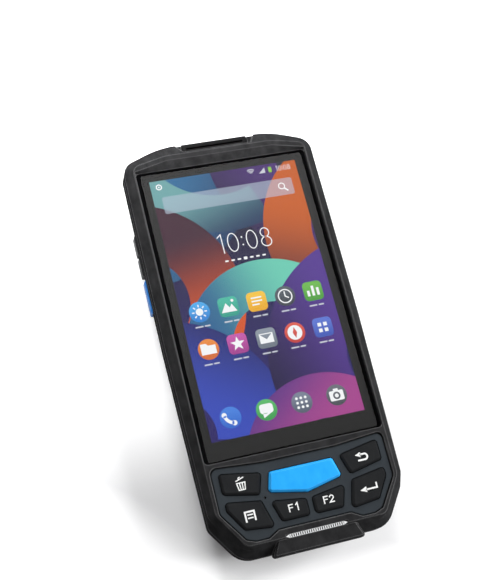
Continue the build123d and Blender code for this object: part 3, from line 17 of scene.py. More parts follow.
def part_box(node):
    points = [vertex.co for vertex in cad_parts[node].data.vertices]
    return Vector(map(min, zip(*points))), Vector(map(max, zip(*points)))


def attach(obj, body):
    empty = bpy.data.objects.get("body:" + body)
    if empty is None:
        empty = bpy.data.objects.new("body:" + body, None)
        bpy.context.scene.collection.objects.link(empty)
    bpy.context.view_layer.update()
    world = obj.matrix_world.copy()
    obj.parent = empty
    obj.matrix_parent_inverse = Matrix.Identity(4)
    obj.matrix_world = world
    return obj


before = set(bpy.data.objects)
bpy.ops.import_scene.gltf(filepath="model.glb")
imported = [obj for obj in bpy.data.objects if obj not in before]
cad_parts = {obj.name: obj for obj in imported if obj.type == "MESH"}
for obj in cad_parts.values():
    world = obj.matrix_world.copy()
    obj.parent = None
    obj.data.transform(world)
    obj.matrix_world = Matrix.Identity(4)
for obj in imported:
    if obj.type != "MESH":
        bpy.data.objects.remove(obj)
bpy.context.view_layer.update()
MM = 0.001  # a millimetre in Blender's metres

# %% [markdown]
# ## Small tools for materials
#
# A finish could be an image wrapped round the part. Here each is worked out from noise and numbers
# instead, so that it stays sharp at any distance and needs no unwrapping.
#
# A swatch is written as an sRGB hex value, but shaders count light linearly, so one function turns
# the first into the second. Another adds a shader node with its settings and links in one line.
# Patterns are sized in millimetres of the real surface: a noise texture's scale is the number of
# features in a metre.

# %% Colour, scale and node helpers
def linear(swatch):
    """RGBA for a hex swatch such as "#2a6db5"."""
    channels = [int(swatch[i:i + 2], 16) / 255 for i in (1, 3, 5)]
    return [c / 12.92 if c <= 0.04045 else ((c + 0.055) / 1.055) ** 2.4 for c in channels] + [1.0]


def per_metre(millimetres):
    """Texture scale for features of this size."""
    return 1000.0 / millimetres


def new_finish(name):
    """An empty material and its node tree."""
    material = bpy.data.materials.new(name)
    material.use_nodes = True
    material.node_tree.nodes.clear()
    return material, material.node_tree


def add(tree, kind, inputs=None, **settings):
    """Add one shader node, set its properties, and fill or link its inputs."""
    node = tree.nodes.new("ShaderNode" + kind)
    for name, value in settings.items():
        setattr(node, name, value)
    for socket, value in (inputs or {}).items():
        if isinstance(value, bpy.types.NodeSocket):
            tree.links.new(value, node.inputs[socket])
        else:
            node.inputs[socket].default_value = value
    return node


print("black", [round(c, 3) for c in linear("#2b2c2e")])

# %% [markdown]
# ## Moulded plastic
#
# The housings are a PC/ABS blend, moulded in a spark-eroded tool. That leaves an even grain of about
# a tenth of a millimetre and a soft sheen. The grain is drawn at 0.4 mm, because the real one is
# finer than a pixel. Handling polishes some patches, so a slow noise shifts colour and roughness,
# stretched along the body because that is how a hand slides on it.
#
# A tool's edges are never perfectly sharp. A bevel in the shader rounds the normals along the solids'
# edges, and the place where the rounded normal leaves the true one is also where hands rub the grain
# smooth. So the same measure makes the edges a little lighter: partly wear, and partly a painted
# highlight for the light that edges and crests catch.
#
# Bare plastic has an IOR of 1.55. On a coarse grain each tiny slope shades the next, so little of its
# shine gets out: the specular level of a coarse surface is near zero and that of a finer one is low.

# %% How a moulded plastic is made
GRAIN_MM = 0.4
GRAIN_DEPTH = 0.05 * MM
SHEEN_SWING = 0.06


def moulded(name, dark, light, roughness, gloss, grain=0.4, patch_mm=7.0, edge_mm=0.3, wear_and_highlight_colour=None,
            wall_shade=None):
    """Moulded plastic: two close colours in patches, fine grain, soft edges lighter from wear and
    painted highlight.
    """
    material, tree = new_finish(name)
    source = add(tree, "TexCoord")
    place = source.outputs["Object"]
    drawn = add(tree, "Mapping", {"Vector": place, "Scale": (1.0, 0.6, 1.0)}).outputs["Vector"]
    patches = add(tree, "TexNoise", {
        "Vector": drawn, "Scale": per_metre(patch_mm), "Detail": 6.0, "Roughness": 0.65})
    share = add(tree, "MapRange", {
        "Value": patches.outputs["Fac"], "From Min": 0.3, "From Max": 0.7}).outputs["Result"]
    colour = add(tree, "MixRGB", {
        "Fac": share, "Color1": linear(dark), "Color2": linear(light)}).outputs["Color"]
    sheen = add(tree, "MapRange", {
        "Value": share, "To Min": roughness - SHEEN_SWING,
        "To Max": roughness + SHEEN_SWING}).outputs["Result"]

    soft_edge = add(tree, "Bevel", {"Radius": edge_mm * MM}, samples=4).outputs["Normal"]
    true_face = add(tree, "NewGeometry").outputs["Normal"]
    match = add(tree, "VectorMath", {0: soft_edge, 1: true_face}, operation="DOT_PRODUCT")
    # partly wear, partly painted highlight: edges lighter where the bevel's normal leaves the true one
    wear_and_highlight = add(tree, "MapRange", {
        "Value": match.outputs["Value"], "From Min": 0.999, "From Max": 0.96,
        "To Max": 0.5}).outputs["Result"]
    colour = add(tree, "MixRGB", {
        "Fac": wear_and_highlight, "Color1": colour, "Color2": linear(wear_and_highlight_colour or light)}).outputs["Color"]
    # painted shade: faces that don't look up take the dark wall colour
    if wall_shade:
        facing = add(tree, "SeparateXYZ", {"Vector": source.outputs["Normal"]}).outputs["Z"]
        up_facing_unshaded = add(tree, "MapRange", {"Value": facing, "From Min": 0.1, "From Max": 0.4})
        colour = add(tree, "MixRGB", {
            "Fac": up_facing_unshaded.outputs["Result"], "Color1": linear(wall_shade),
            "Color2": colour}).outputs["Color"]

    fine = add(tree, "TexNoise", {
        "Vector": place, "Scale": per_metre(GRAIN_MM), "Detail": 3.0, "Roughness": 0.7})
    bump = add(tree, "Bump", {
        "Strength": grain, "Distance": GRAIN_DEPTH, "Height": fine.outputs["Fac"],
        "Normal": soft_edge})
    surface = add(tree, "BsdfPrincipled", {
        "Base Color": colour, "Roughness": sheen, "IOR": 1.55, "Specular IOR Level": gloss,
        "Normal": bump.outputs["Normal"]})
    add(tree, "OutputMaterial", {"Surface": surface.outputs["BSDF"]})
    return material


print("grain", GRAIN_MM, "mm, drawn", round(GRAIN_DEPTH / MM, 3), "mm deep")

# %% [markdown]
# Each plastic starts from this one function and differs only in its numbers. The keypad plate is
# slate-painted plastic, and its walls that don't look up are coloured black: painted shade, which
# draws the thin dark line round each key where the gaps lie in shade. The keys have a thin silicone
# skin, which is smoother than the housing and wears less.

# %% Plastics of the casing and the keys
# PC/ABS from a spark-eroded tool: dull, patchy from handling; pale edges are wear and painted
# highlight
housing_black = moulded(
    "pc_abs_spark_eroded_black", "#212122", "#323233", 0.65, 0.0, grain=0.5, patch_mm=4.0,
    edge_mm=0.5, wear_and_highlight_colour="#7c7c7d")
# polycarbonate from a polished tool: deep black with a faint sheen
bezel_black = moulded("pc_polished_black", "#0c0c0d", "#131314", 0.4, 0.1, grain=0.1)
# painted ABS: an even, slightly blue slate, with painted shade on its walls
plate_slate = moulded(
    "abs_painted_slate", "#2c3034", "#33383c", 0.55, 0.06, grain=0.3, patch_mm=12.0,
    wall_shade="#050506")
# silicone skin over hard caps: satin, with small soft edges that stay dark
key_black = moulded(
    "silicone_over_pc_black", "#17181a", "#1f2021", 0.45, 0.08, grain=0.2, patch_mm=4.0,
    edge_mm=0.25)
# the same skin with blue pigment; its lighter edges are a painted highlight along the bevels
key_blue = moulded(
    "silicone_over_pc_blue", "#2296e0", "#2ea2ea", 0.5, 0.1, grain=0.2, patch_mm=5.0,
    wear_and_highlight_colour="#6cbcf6")
# solid silicone: a deeper blue than the thin skin of the key, with edges lighter from wear and painted
# highlight
trigger_blue = moulded(
    "silicone_trigger_blue", "#1d62a8", "#2876c4", 0.45, 0.12, grain=0.2, patch_mm=5.0,
    wear_and_highlight_colour="#4f9ae0")
# PBT blocks of the modules inside: plain black with some shine
module_black = moulded("pbt_module_black", "#141516", "#1d1e20", 0.5, 0.3, grain=0.2)
# ABS shell of the battery: dark grey, smoother than the housings
battery_grey = moulded("abs_battery_shell", "#2e3134", "#3b3f43", 0.5, 0.3, grain=0.3)
print("moulded plastics:", housing_black.name, plate_slate.name, key_black.name, key_blue.name)

# %% [markdown]
# ## Rubber
#
# Seals, the port cover and the key mat are silicone or EPDM rubber. Rubber scatters light broadly, so
# it has a high roughness, and its surface shows faint dust and flow marks rather than grain. The
# display's seal lies deep in its gap, out of the room's light, so it is nearly without shine.

# %% Rubbers
def rubber(name, dark, light, roughness, gloss=0.5):
    """Dull rubber with faint dust."""
    material, tree = new_finish(name)
    place = add(tree, "TexCoord").outputs["Object"]
    dust = add(tree, "TexNoise", {"Vector": place, "Scale": per_metre(3.0), "Detail": 8.0})
    colour = add(tree, "MixRGB", {
        "Fac": dust.outputs["Fac"], "Color1": linear(dark), "Color2": linear(light)})
    bump = add(tree, "Bump", {
        "Strength": 0.3, "Distance": 0.05 * MM, "Height": dust.outputs["Fac"]})
    surface = add(tree, "BsdfPrincipled", {
        "Base Color": colour.outputs["Color"], "Roughness": roughness, "IOR": 1.5,
        "Specular IOR Level": gloss, "Normal": bump.outputs["Normal"]})
    add(tree, "OutputMaterial", {"Surface": surface.outputs["BSDF"]})
    return material


seal_rubber = rubber("epdm_seal", "#040405", "#080809", 0.75, gloss=0.03)
cover_rubber = rubber("epdm_port_cover", "#121314", "#1c1d1e", 0.65)
mat_rubber = rubber("silicone_key_mat", "#5c6066", "#6c7076", 0.55)
print("rubbers:", seal_rubber.name, cover_rubber.name, mat_rubber.name)

# %% [markdown]
# ## Metals
#
# Sheet steel, cast aluminium and brass are all made the same way here: a metallic base, a roughness
# that varies along fine rolling lines, and no tint in the highlights but the metal's own. The lines
# are stretched noise, drawn at 0.3 mm so that they show. On the speaker strip only what looks up keeps
# the bright steel colour: faces that don't look up are near black, painted shade that keeps its slots
# dark.

# %% Metals
def metal(name, swatch, roughness, line_mm=0.3, wall_shade=None):
    """Bare metal with fine rolling lines; faces that don't look up take the given dark colour as
    painted shade.
    """
    material, tree = new_finish(name)
    source = add(tree, "TexCoord")
    place = source.outputs["Object"]
    base = linear(swatch)
    # painted shade: faces that don't look up take the dark wall colour, so the slots stay dark
    if wall_shade:
        facing = add(tree, "SeparateXYZ", {"Vector": source.outputs["Normal"]}).outputs["Z"]
        top = add(tree, "MapRange", {"Value": facing, "From Min": 0.3, "From Max": 0.7})
        base = add(tree, "MixRGB", {
            "Fac": top.outputs["Result"], "Color1": linear(wall_shade), "Color2": base}).outputs["Color"]
    drawn = add(tree, "Mapping", {"Vector": place, "Scale": (1.0, 0.05, 1.0)}).outputs["Vector"]
    lines = add(tree, "TexNoise", {"Vector": drawn, "Scale": per_metre(line_mm), "Detail": 2.0})
    sheen = add(tree, "MapRange", {
        "Value": lines.outputs["Fac"], "To Min": roughness - 0.08, "To Max": roughness + 0.12})
    bump = add(tree, "Bump", {
        "Strength": 0.1, "Distance": 0.02 * MM, "Height": lines.outputs["Fac"]})
    surface = add(tree, "BsdfPrincipled", {
        "Base Color": base, "Metallic": 1.0, "Roughness": sheen.outputs["Result"],
        "Normal": bump.outputs["Normal"]})
    add(tree, "OutputMaterial", {"Surface": surface.outputs["BSDF"]})
    return material


# rolled and tinned: bright, with lines along the rolling
sheet_steel = metal("tinned_sheet_steel", "#b9bbbd", 0.3)
# bright ribs, with painted shade on the walls of its slots
grille_steel = metal("steel_ribs_with_painted_slot_shade", "#f2f3f4", 0.35, wall_shade="#0c0c0d")
# die cast and left as it comes: duller than sheet
frame_aluminium = metal("cast_aluminium", "#aeb1b5", 0.45)
# turned on a lathe: warm yellow with a clean shine
insert_brass = metal("machined_brass", "#c9a552", 0.3)
# steel with a black oxide skin: dark, with a soft shine
screw_steel = metal("black_oxide_steel", "#37383a", 0.4)
print("metals:", sheet_steel.name, grille_steel.name, frame_aluminium.name, insert_brass.name)

# %% [markdown]
# ## Circuit board, cloth and small optics
#
# The boards are glass-fibre laminate under green solder mask. A pattern of 2 by 1 mm bricks stands
# for the tracks under the mask and keeps the boards from looking like plain card. The speaker's dust
# mesh is a black woven cloth. Its threads are 0.4 mm apart and are drawn twice as far apart, so that
# they show. The flash lens is a frosted acrylic, which scatters light inside.

# %% Board, mesh and flash lens
def solder_mask():
    """Green laminate with faint tracks under the mask."""
    material, tree = new_finish("fr4_solder_mask")
    place = add(tree, "TexCoord").outputs["Object"]
    tracks = add(tree, "TexBrick", {
        "Vector": place, "Scale": per_metre(4.0), "Color1": linear("#14563a"),
        "Color2": linear("#1a6243"), "Mortar": linear("#2b7a55"), "Mortar Size": 0.06})
    surface = add(tree, "BsdfPrincipled", {
        "Base Color": tracks.outputs["Color"], "Roughness": 0.35, "IOR": 1.5})
    add(tree, "OutputMaterial", {"Surface": surface.outputs["BSDF"]})
    return material


THREAD_MM = 0.4


def woven_mesh():
    """Black dust cloth: two crossing sets of threads, about 0.8 mm apart."""
    material, tree = new_finish("woven_polyester_mesh")
    place = add(tree, "TexCoord").outputs["Object"]
    threads = [
        add(tree, "TexWave", {"Vector": place, "Scale": per_metre(THREAD_MM * math.tau)},
            bands_direction=direction).outputs["Fac"]
        for direction in ("X", "Y")]
    height = add(tree, "Math", {0: threads[0], 1: threads[1]}, operation="MAXIMUM")
    colour = add(tree, "MixRGB", {
        "Fac": height.outputs["Value"], "Color1": linear("#040404"), "Color2": linear("#151617")})
    surface = add(tree, "BsdfPrincipled", {"Base Color": colour.outputs["Color"], "Roughness": 0.8})
    add(tree, "OutputMaterial", {"Surface": surface.outputs["BSDF"]})
    return material


def frosted_acrylic():
    """Yellowish diffuser over the flash."""
    material, tree = new_finish("frosted_acrylic")
    place = add(tree, "TexCoord").outputs["Object"]
    frost = add(tree, "TexNoise", {"Vector": place, "Scale": per_metre(0.5), "Detail": 2.0})
    bump = add(tree, "Bump", {
        "Strength": 0.4, "Distance": 0.05 * MM, "Height": frost.outputs["Fac"]})
    surface = add(tree, "BsdfPrincipled", {
        "Base Color": linear("#efe9c4"), "Roughness": 0.35, "IOR": 1.49,
        "Subsurface Weight": 0.3, "Normal": bump.outputs["Normal"]})
    add(tree, "OutputMaterial", {"Surface": surface.outputs["BSDF"]})
    return material


board_green = solder_mask()
dust_mesh = woven_mesh()
flash_acrylic = frosted_acrylic()
print("board, mesh and lens:", board_green.name, dust_mesh.name, flash_acrylic.name)

# %% [markdown]
# ## Glass
#
# The display's cover is polished alkali glass, so a few percent of the room is mirrored in it. Bare
# glass has an IOR of 1.5. A cover has a thin coat against glare, so its value is a little lower. The
# scan pane and the camera window are tinted. Fingertips leave a very thin film, which shows as a
# slow change in roughness.

# %% Glasses
def pane(name, tint, film, ior=1.5):
    """Polished glass with a faint film of fingerprints."""
    material, tree = new_finish(name)
    place = add(tree, "TexCoord").outputs["Object"]
    smears = add(tree, "TexNoise", {"Vector": place, "Scale": per_metre(18.0), "Detail": 5.0})
    sheen = add(tree, "MapRange", {
        "Value": smears.outputs["Fac"], "From Min": 0.45, "From Max": 0.75, "To Max": film})
    surface = add(tree, "BsdfPrincipled", {
        "Base Color": linear(tint), "Roughness": sheen.outputs["Result"], "IOR": ior,
        "Transmission Weight": 1.0})
    add(tree, "OutputMaterial", {"Surface": surface.outputs["BSDF"]})
    return material


cover_glass = pane("polished_cover_glass", "#ffffff", 0.0, ior=1.4)
scan_glass = pane("red_tinted_scan_glass", "#6a1a20", 0.02)
lens_glass = pane("smoked_lens_glass", "#4a5058", 0.0)
print("glasses:", cover_glass.name, scan_glass.name, lens_glass.name)

# %% [markdown]
# ## Give every solid its finish
#
# A solid keeps its own mesh. Only the material in its slot changes, so one table from node to finish
# is enough, and a check makes sure that none is left out.

# %% Finish of each solid
finishes = {
    housing_black: ["front_housing", "rear_housing", "battery_door"],
    bezel_black: ["window_bezel"],
    plate_slate: ["keypad_plate"],
    key_black: ["key_back", "key_delete", "key_enter", "key_menu", "key_f1", "key_f2",
                "volume_up_key", "volume_down_key", "power_key", "door_latch"],
    key_blue: ["key_scan"],
    trigger_blue: ["left_trigger", "right_trigger"],
    module_black: ["scan_engine", "speaker", "camera_module", "battery_contacts", "side_switches",
                   "display_module"],
    battery_grey: ["battery"],
    seal_rubber: ["display_gasket", "housing_seal", "door_seal"],
    cover_rubber: ["port_cover"],
    mat_rubber: ["keypad_mat"],
    sheet_steel: ["shield_cans", "engine_bracket", "vibration_motor", "usb_socket",
                  "dome_switches", "microphone"],
    grille_steel: ["speaker_grille"],
    frame_aluminium: ["chassis"],
    insert_brass: ["thread_inserts", "antenna"],
    screw_steel: ["housing_screws"],
    board_green: ["main_board", "keypad_board", "port_board", "side_key_board_left",
                  "side_key_board_right"],
    dust_mesh: ["speaker_mesh"],
    flash_acrylic: ["flash_lens"],
    cover_glass: ["display_glass"],
    scan_glass: ["scan_window"],
    lens_glass: ["camera_window"],
}
finished = set()
for finish, names in finishes.items():
    for name in names:
        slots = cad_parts[name].data.materials
        slots.clear()
        slots.append(finish)
        finished.add(name)
print("without a finish:", sorted(set(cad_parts) - finished))

# %% [markdown]
# ## Outlines
#
# Ink, signs and legends are all thin flat shapes. They could be painted in a shader, but a shape cut
# from geometry has a sharp edge from near and far, and a legend then moves with its key. Each shape
# starts as a closed outline: a list of points in millimetres.

# %% Round and square outlines
def circle(x, y, radius, corners=40):
    """Outline of a circle."""
    angles = [math.tau * i / corners for i in range(corners)]
    return [(x + radius * math.cos(a), y + radius * math.sin(a)) for a in angles]


def oblong(x, y, width, height, radius, corners=8):
    """Outline of a rectangle with round corners, about its middle."""
    points = []
    for sx, sy, start in ((1, 1, 0), (-1, 1, 90), (-1, -1, 180), (1, -1, 270)):
        cx = x + sx * (width / 2 - radius)
        cy = y + sy * (height / 2 - radius)
        for i in range(corners + 1):
            angle = math.radians(start + 90 * i / corners)
            points.append((cx + radius * math.cos(angle), cy + radius * math.sin(angle)))
    return points


def arc(x, y, radius, start, end, corners=16):
    """Points along an arc, angles in degrees."""
    angles = [math.radians(start + (end - start) * i / corners) for i in range(corners + 1)]
    return [(x + radius * math.cos(a), y + radius * math.sin(a)) for a in angles]


print("a quarter turn:", [round(v, 2) for v in arc(0.0, 0.0, 1.0, 0, 90, 1)[1]])

# %% [markdown]
# A line drawn with a pen is an outline too. It runs along the pen's left side and back along its
# right. At a bend both sides meet on the bisector, and they lie farther out there, so that the pen
# keeps its width. A limit on that reach keeps sharp bends from growing spikes.

# %% Strokes
def stroke(points, width):
    """Closed outline of an open line drawn with a square-ended pen."""
    left, right = [], []
    for i, here in enumerate(points):
        before = Vector(points[max(i - 1, 0)])
        after = Vector(points[min(i + 1, len(points) - 1)])
        into = (Vector(here) - before).normalized() if i else (after - Vector(here)).normalized()
        out = (after - Vector(here)).normalized() if i < len(points) - 1 else into
        tangent = (into + out).normalized()
        normal = Vector((-tangent.y, tangent.x))
        reach = width / 2 / max(abs(normal.dot(Vector((-into.y, into.x)))), 0.4)
        left.append(tuple(Vector(here) + normal * reach))
        right.append(tuple(Vector(here) - normal * reach))
    return left + right[::-1]


def moved(outlines, x, y):
    """The outlines, moved."""
    return [[(x + px, y + py) for px, py in line] for line in outlines]


print("a stroke of two points has", len(stroke([(0, 0), (1, 0)], 0.5)), "corners")

# %% [markdown]
# Blender's 2D curves fill closed outlines and leave inner ones open, so a set of outlines becomes a
# clean thin plate with its holes. The curve is turned into a mesh at once, because a mesh can ride on
# a moving body and be written out.

# %% Thin plates
def thin_plate(name, outlines, low, thickness, material, body):
    """Plate cut to closed outlines; an outline inside another is a hole."""
    curve = bpy.data.curves.new(name, "CURVE")
    curve.dimensions = "2D"
    curve.fill_mode = "BOTH"
    curve.extrude = thickness / 2 * MM
    for line in outlines:
        spline = curve.splines.new("POLY")
        spline.points.add(len(line) - 1)
        spline.use_cyclic_u = True
        for point, (x, y) in zip(spline.points, line):
            point.co = (x * MM, y * MM, 0.0, 1.0)
    pattern = bpy.data.objects.new(name + "_pattern", curve)
    bpy.context.scene.collection.objects.link(pattern)
    mesh = bpy.data.meshes.new_from_object(
        pattern.evaluated_get(bpy.context.evaluated_depsgraph_get()))
    bpy.data.objects.remove(pattern)
    mesh.name = name
    mesh.transform(Matrix.Translation((0, 0, (low + thickness / 2) * MM)))
    mesh.materials.clear()
    mesh.materials.append(material)
    plate = bpy.data.objects.new(name, mesh)
    bpy.context.scene.collection.objects.link(plate)
    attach(plate, body)
    return plate


# %% [markdown]
# ## Ink behind the glass
#
# The glass is clear. Its black border is ink, screen printed on the back face, with a window left
# open for the picture. It lies a few hundredths of a millimetre inside the glass here, so that the
# two faces don't share a plane. Ink that touches glass has no shine of its own: all the gloss is the
# glass's, so the ink's specular level is zero.

# %% Printed border
glass_low, glass_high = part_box("display_glass")
glass_x = (glass_low.x + glass_high.x) / 2 / MM
glass_y = (glass_low.y + glass_high.y) / 2 / MM
glass_width = (glass_high.x - glass_low.x) / MM
glass_length = (glass_high.y - glass_low.y) / MM
INK_LEVEL = glass_low.z / MM + 0.03
INK_THICKNESS = 0.01
INK_INSET = 0.2
INK_CORNER = 1.0
PICTURE_WIDTH = 62.1
PICTURE_LENGTH = 108.4
PICTURE_SHIFT = 0.1
PICTURE_RISE = 2.3
picture_x = glass_x + PICTURE_SHIFT
picture_y = glass_y + PICTURE_RISE


def printed_ink(name, dark, light, roughness, gloss):
    """Screen-printed enamel ink with a slightly uneven coat."""
    material, tree = new_finish(name)
    place = add(tree, "TexCoord").outputs["Object"]
    cover = add(tree, "TexNoise", {"Vector": place, "Scale": per_metre(5.0), "Detail": 3.0})
    colour = add(tree, "MixRGB", {
        "Fac": cover.outputs["Fac"], "Color1": linear(dark), "Color2": linear(light)})
    surface = add(tree, "BsdfPrincipled", {
        "Base Color": colour.outputs["Color"], "Roughness": roughness, "Specular IOR Level": gloss})
    add(tree, "OutputMaterial", {"Surface": surface.outputs["BSDF"]})
    return material


border = thin_plate(
    "glass_border_ink",
    [oblong(glass_x, glass_y, glass_width - 2 * INK_INSET, glass_length - 2 * INK_INSET, INK_CORNER),
     oblong(picture_x, picture_y, PICTURE_WIDTH, PICTURE_LENGTH, 0.01, corners=1)],
    INK_LEVEL, INK_THICKNESS, printed_ink("border_ink", "#090909", "#0d0d0d", 0.6, 0.0), "casing")
print("picture", PICTURE_WIDTH, "x", PICTURE_LENGTH, "mm")

# %% [markdown]
# ## The lit picture
#
# A display gives its own light, so its colours are emission, at a strength of 1: a swatch then shows
# as it is written. Each flat area runs between two colours along one direction. Areas that overlap
# lie on different levels, about a hundredth of a millimetre apart. The areas are kept out of the lamp
# sampling, because such weak light adds nothing to the room but noise.

# %% Glowing colours
def glow(name, first, second=None, angle=0.0, middle=(0.0, 0.0), reach=10.0):
    """Lit area that runs between two colours along an angle, about a point of the picture."""
    material, tree = new_finish("glow_" + name)
    place = add(tree, "TexCoord").outputs["Object"]
    centre = (-(picture_x + middle[0]) * MM, -(picture_y + middle[1]) * MM, 0.0)
    shifted = add(tree, "Mapping", {"Vector": place, "Location": centre}).outputs["Vector"]
    direction = (math.cos(math.radians(angle)), math.sin(math.radians(angle)), 0.0)
    along = add(tree, "VectorMath", {0: shifted, 1: direction}, operation="DOT_PRODUCT")
    share = add(tree, "MapRange", {
        "Value": along.outputs["Value"], "From Min": -reach * MM, "From Max": reach * MM},
        interpolation_type="SMOOTHSTEP")
    colour = add(tree, "MixRGB", {
        "Fac": share.outputs["Result"], "Color1": linear(first),
        "Color2": linear(second or first)})
    light = add(tree, "Emission", {"Color": colour.outputs["Color"]})
    add(tree, "OutputMaterial", {"Surface": light.outputs["Emission"]})
    material.cycles.emission_sampling = "NONE"
    return material


LEVEL_STEP = 0.012
GLOW_THICKNESS = 0.004


def lit(name, outlines, level, material):
    """Lay outlines, given about the picture's middle, on a level of the picture."""
    height = INK_LEVEL + LEVEL_STEP * level
    piece = thin_plate(
        name, moved(outlines, picture_x, picture_y), height, GLOW_THICKNESS, material, "casing")


half_w = PICTURE_WIDTH / 2
half_l = PICTURE_LENGTH / 2
whole_picture = [(-half_w, -half_l), (half_w, -half_l), (half_w, half_l), (-half_w, half_l)]
lit("wallpaper_ground", [whole_picture], 0, glow("ground", "#221860", "#0e0828", 80, (0, 4), 44))
print("the ground of the picture is lit")

# %% [markdown]
# The wallpaper is a set of broad curved bands, like wood shavings. Each band is a strip of small
# four-sided pieces between two arcs about one centre. Every piece is cut off at the picture's edge
# by itself, which is simpler and surer than cutting the whole band. A band has a lit side and a
# shaded side, which the run of its colour gives.

# %% Wallpaper bands
BAND_STEPS = 48
WELD = 0.001 * MM


def cut_to_picture(points):
    """The part of a convex outline that lies inside the picture."""
    for axis, limit, sign in ((0, half_w, 1), (0, half_w, -1), (1, half_l, 1), (1, half_l, -1)):
        kept = []
        for here, after in zip(points, points[1:] + points[:1]):
            inside = sign * here[axis] <= limit
            if inside:
                kept.append(here)
            if inside != (sign * after[axis] <= limit):
                share = (sign * limit - here[axis]) / (after[axis] - here[axis])
                kept.append(tuple(a + share * (b - a) for a, b in zip(here, after)))
        points = kept
    return points


def band(name, shape, level, material):
    """Band between two arcs about one centre, on a level of the picture."""
    x, y, inner, outer, start, end = shape
    far = arc(x, y, outer, start, end, BAND_STEPS)
    near = arc(x, y, inner, start, end, BAND_STEPS)
    height = (INK_LEVEL + LEVEL_STEP * level) * MM
    sheet = bmesh.new()
    for i in range(BAND_STEPS):
        corners = cut_to_picture([far[i], far[i + 1], near[i + 1], near[i]])
        if len(corners) > 2:
            sheet.faces.new([sheet.verts.new(((picture_x + u) * MM, (picture_y + v) * MM, height))
                             for u, v in corners])
    bmesh.ops.remove_doubles(sheet, verts=sheet.verts, dist=WELD)
    bmesh.ops.dissolve_degenerate(sheet, edges=sheet.edges, dist=WELD)
    bmesh.ops.recalc_face_normals(sheet, faces=sheet.faces)
    mesh = bpy.data.meshes.new(name)
    sheet.to_mesh(mesh)
    sheet.free()
    mesh.materials.append(material)
    piece = bpy.data.objects.new(name, mesh)
    bpy.context.scene.collection.objects.link(piece)
    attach(piece, "casing")


bands = [
    # name, centre, inner and outer radius, angles, colours, direction, middle and reach of the run
    ("sky", (-40, 62, 14, 52, -80, 10), ("#276c9c", "#12244e", -30, (-10, 40), 24)),
    ("dusk", (44, 60, 22, 50, 150, 262), ("#452470", "#180c38", 215, (10, 36), 20)),
    ("mist", (-2, 74, 30, 46, 214, 292), ("#6ca4a6", "#16325a", -70, (-4, 40), 16)),
    ("rust", (-46, 4, 20, 42, -50, 70), ("#d0501a", "#3c142c", 100, (-16, 8), 22)),
    ("amber", (54, 20, 24, 44, 108, 230), ("#c45a14", "#481828", 250, (18, 16), 22)),
    ("lagoon", (4, -22, 18, 36, 52, 178), ("#24608e", "#68c8b0", 20, (-6, 8), 20)),
    ("cobalt", (-44, -50, 16, 46, -12, 92), ("#3046b4", "#120e50", 60, (-16, -26), 24)),
    ("violet", (50, -34, 20, 52, 96, 212), ("#50308e", "#180a40", 200, (14, -18), 24)),
    ("rose", (14, -70, 16, 34, 20, 168), ("#a2408a", "#482a80", 130, (6, -44), 18)),
]
for level, (name, shape, run) in enumerate(bands, start=1):
    band("wallpaper_" + name, shape, level, glow(name, *run))
print(len(bands), "bands on the wallpaper")

# %% [markdown]
# ## Signs on the display
#
# Over the wallpaper lie a row of status signs, a pale see-through bar, the time, two rows of round
# and square signs for programs, and a dock. They are everyday signs only: a sun, a note, a chart, a
# folder and the like. The bar lets the wallpaper through, so it mixes a little light with clear. The
# reading glass at its right end is drawn about zero and moved there.

# %% Bar
BAR_LEVEL = 11
PLATE_LEVEL = 12
SIGN_LEVEL = 13
white_light = glow("white_signs", "#f2f4f6")


def clear_light(name, swatch, share):
    """Lit film that lets most of what lies under it through."""
    material, tree = new_finish(name)
    light = add(tree, "Emission", {"Color": linear(swatch)})
    clear = add(tree, "BsdfTransparent")
    mixed = add(tree, "MixShader", {0: share, 1: clear.outputs[0], 2: light.outputs[0]})
    add(tree, "OutputMaterial", {"Surface": mixed.outputs[0]})
    return material


BAR_WIDTH = 55.0
BAR_HEIGHT = 7.4
BAR_DROP = 11.0
LENS_X = 22.6
bar_y = half_l - BAR_DROP
lit("search_bar", [oblong(0.0, bar_y, BAR_WIDTH, BAR_HEIGHT, 0.8)], BAR_LEVEL,
    clear_light("glow_bar", "#b8c6d8", 0.28))
reading_glass = [circle(0.0, 0.4, 1.5), circle(0.0, 0.4, 1.05),
                 stroke([(1.0, -0.6), (2.4, -2.0)], 0.6)]
lit("search_sign", moved(reading_glass, LENS_X, bar_y), SIGN_LEVEL, white_light)
print("bar", BAR_WIDTH, "x", BAR_HEIGHT, "mm")

# %% [markdown]
# The time is drawn in thin figures. A nought is a pair of upright ovals, one inside the other, and an
# eight is two noughts of unlike height that overlap by the width of the pen. Below it lies a row of
# seven marks, one of them taller, where a date would be.

# %% Time
def ring_figure(x, y, width, height, pen):
    """Outline pair of an upright oval ring: a nought."""
    turns = [math.tau * i / 40 for i in range(40)]
    return [[(x + (width - inset) / 2 * math.cos(a), y + (height - inset) / 2 * math.sin(a))
             for a in turns] for inset in (0.0, 2 * pen)]


def ten_past(x, y, height, pen):
    """Outlines of the figures 10:08, about their middle."""
    h = height
    w = height * 0.56
    lower = 0.54 * h
    upper = 0.46 * h + pen
    top = y + h / 2
    one = stroke([(x - 1.82 * w, y - h / 2), (x - 1.82 * w, top), (x - 2.2 * w, top - 0.3 * w)], pen)
    return [one, *ring_figure(x - 0.86 * w, y, w, h, pen), *ring_figure(x + 0.86 * w, y, w, h, pen),
            circle(x, y + 0.2 * h, 0.85 * pen), circle(x, y - 0.2 * h, 0.85 * pen),
            *ring_figure(x + 2.14 * w, y - (h - lower) / 2, w, lower, pen),
            *ring_figure(x + 2.14 * w, y + (h - upper) / 2 + 0.01, 0.86 * w, upper, pen)]


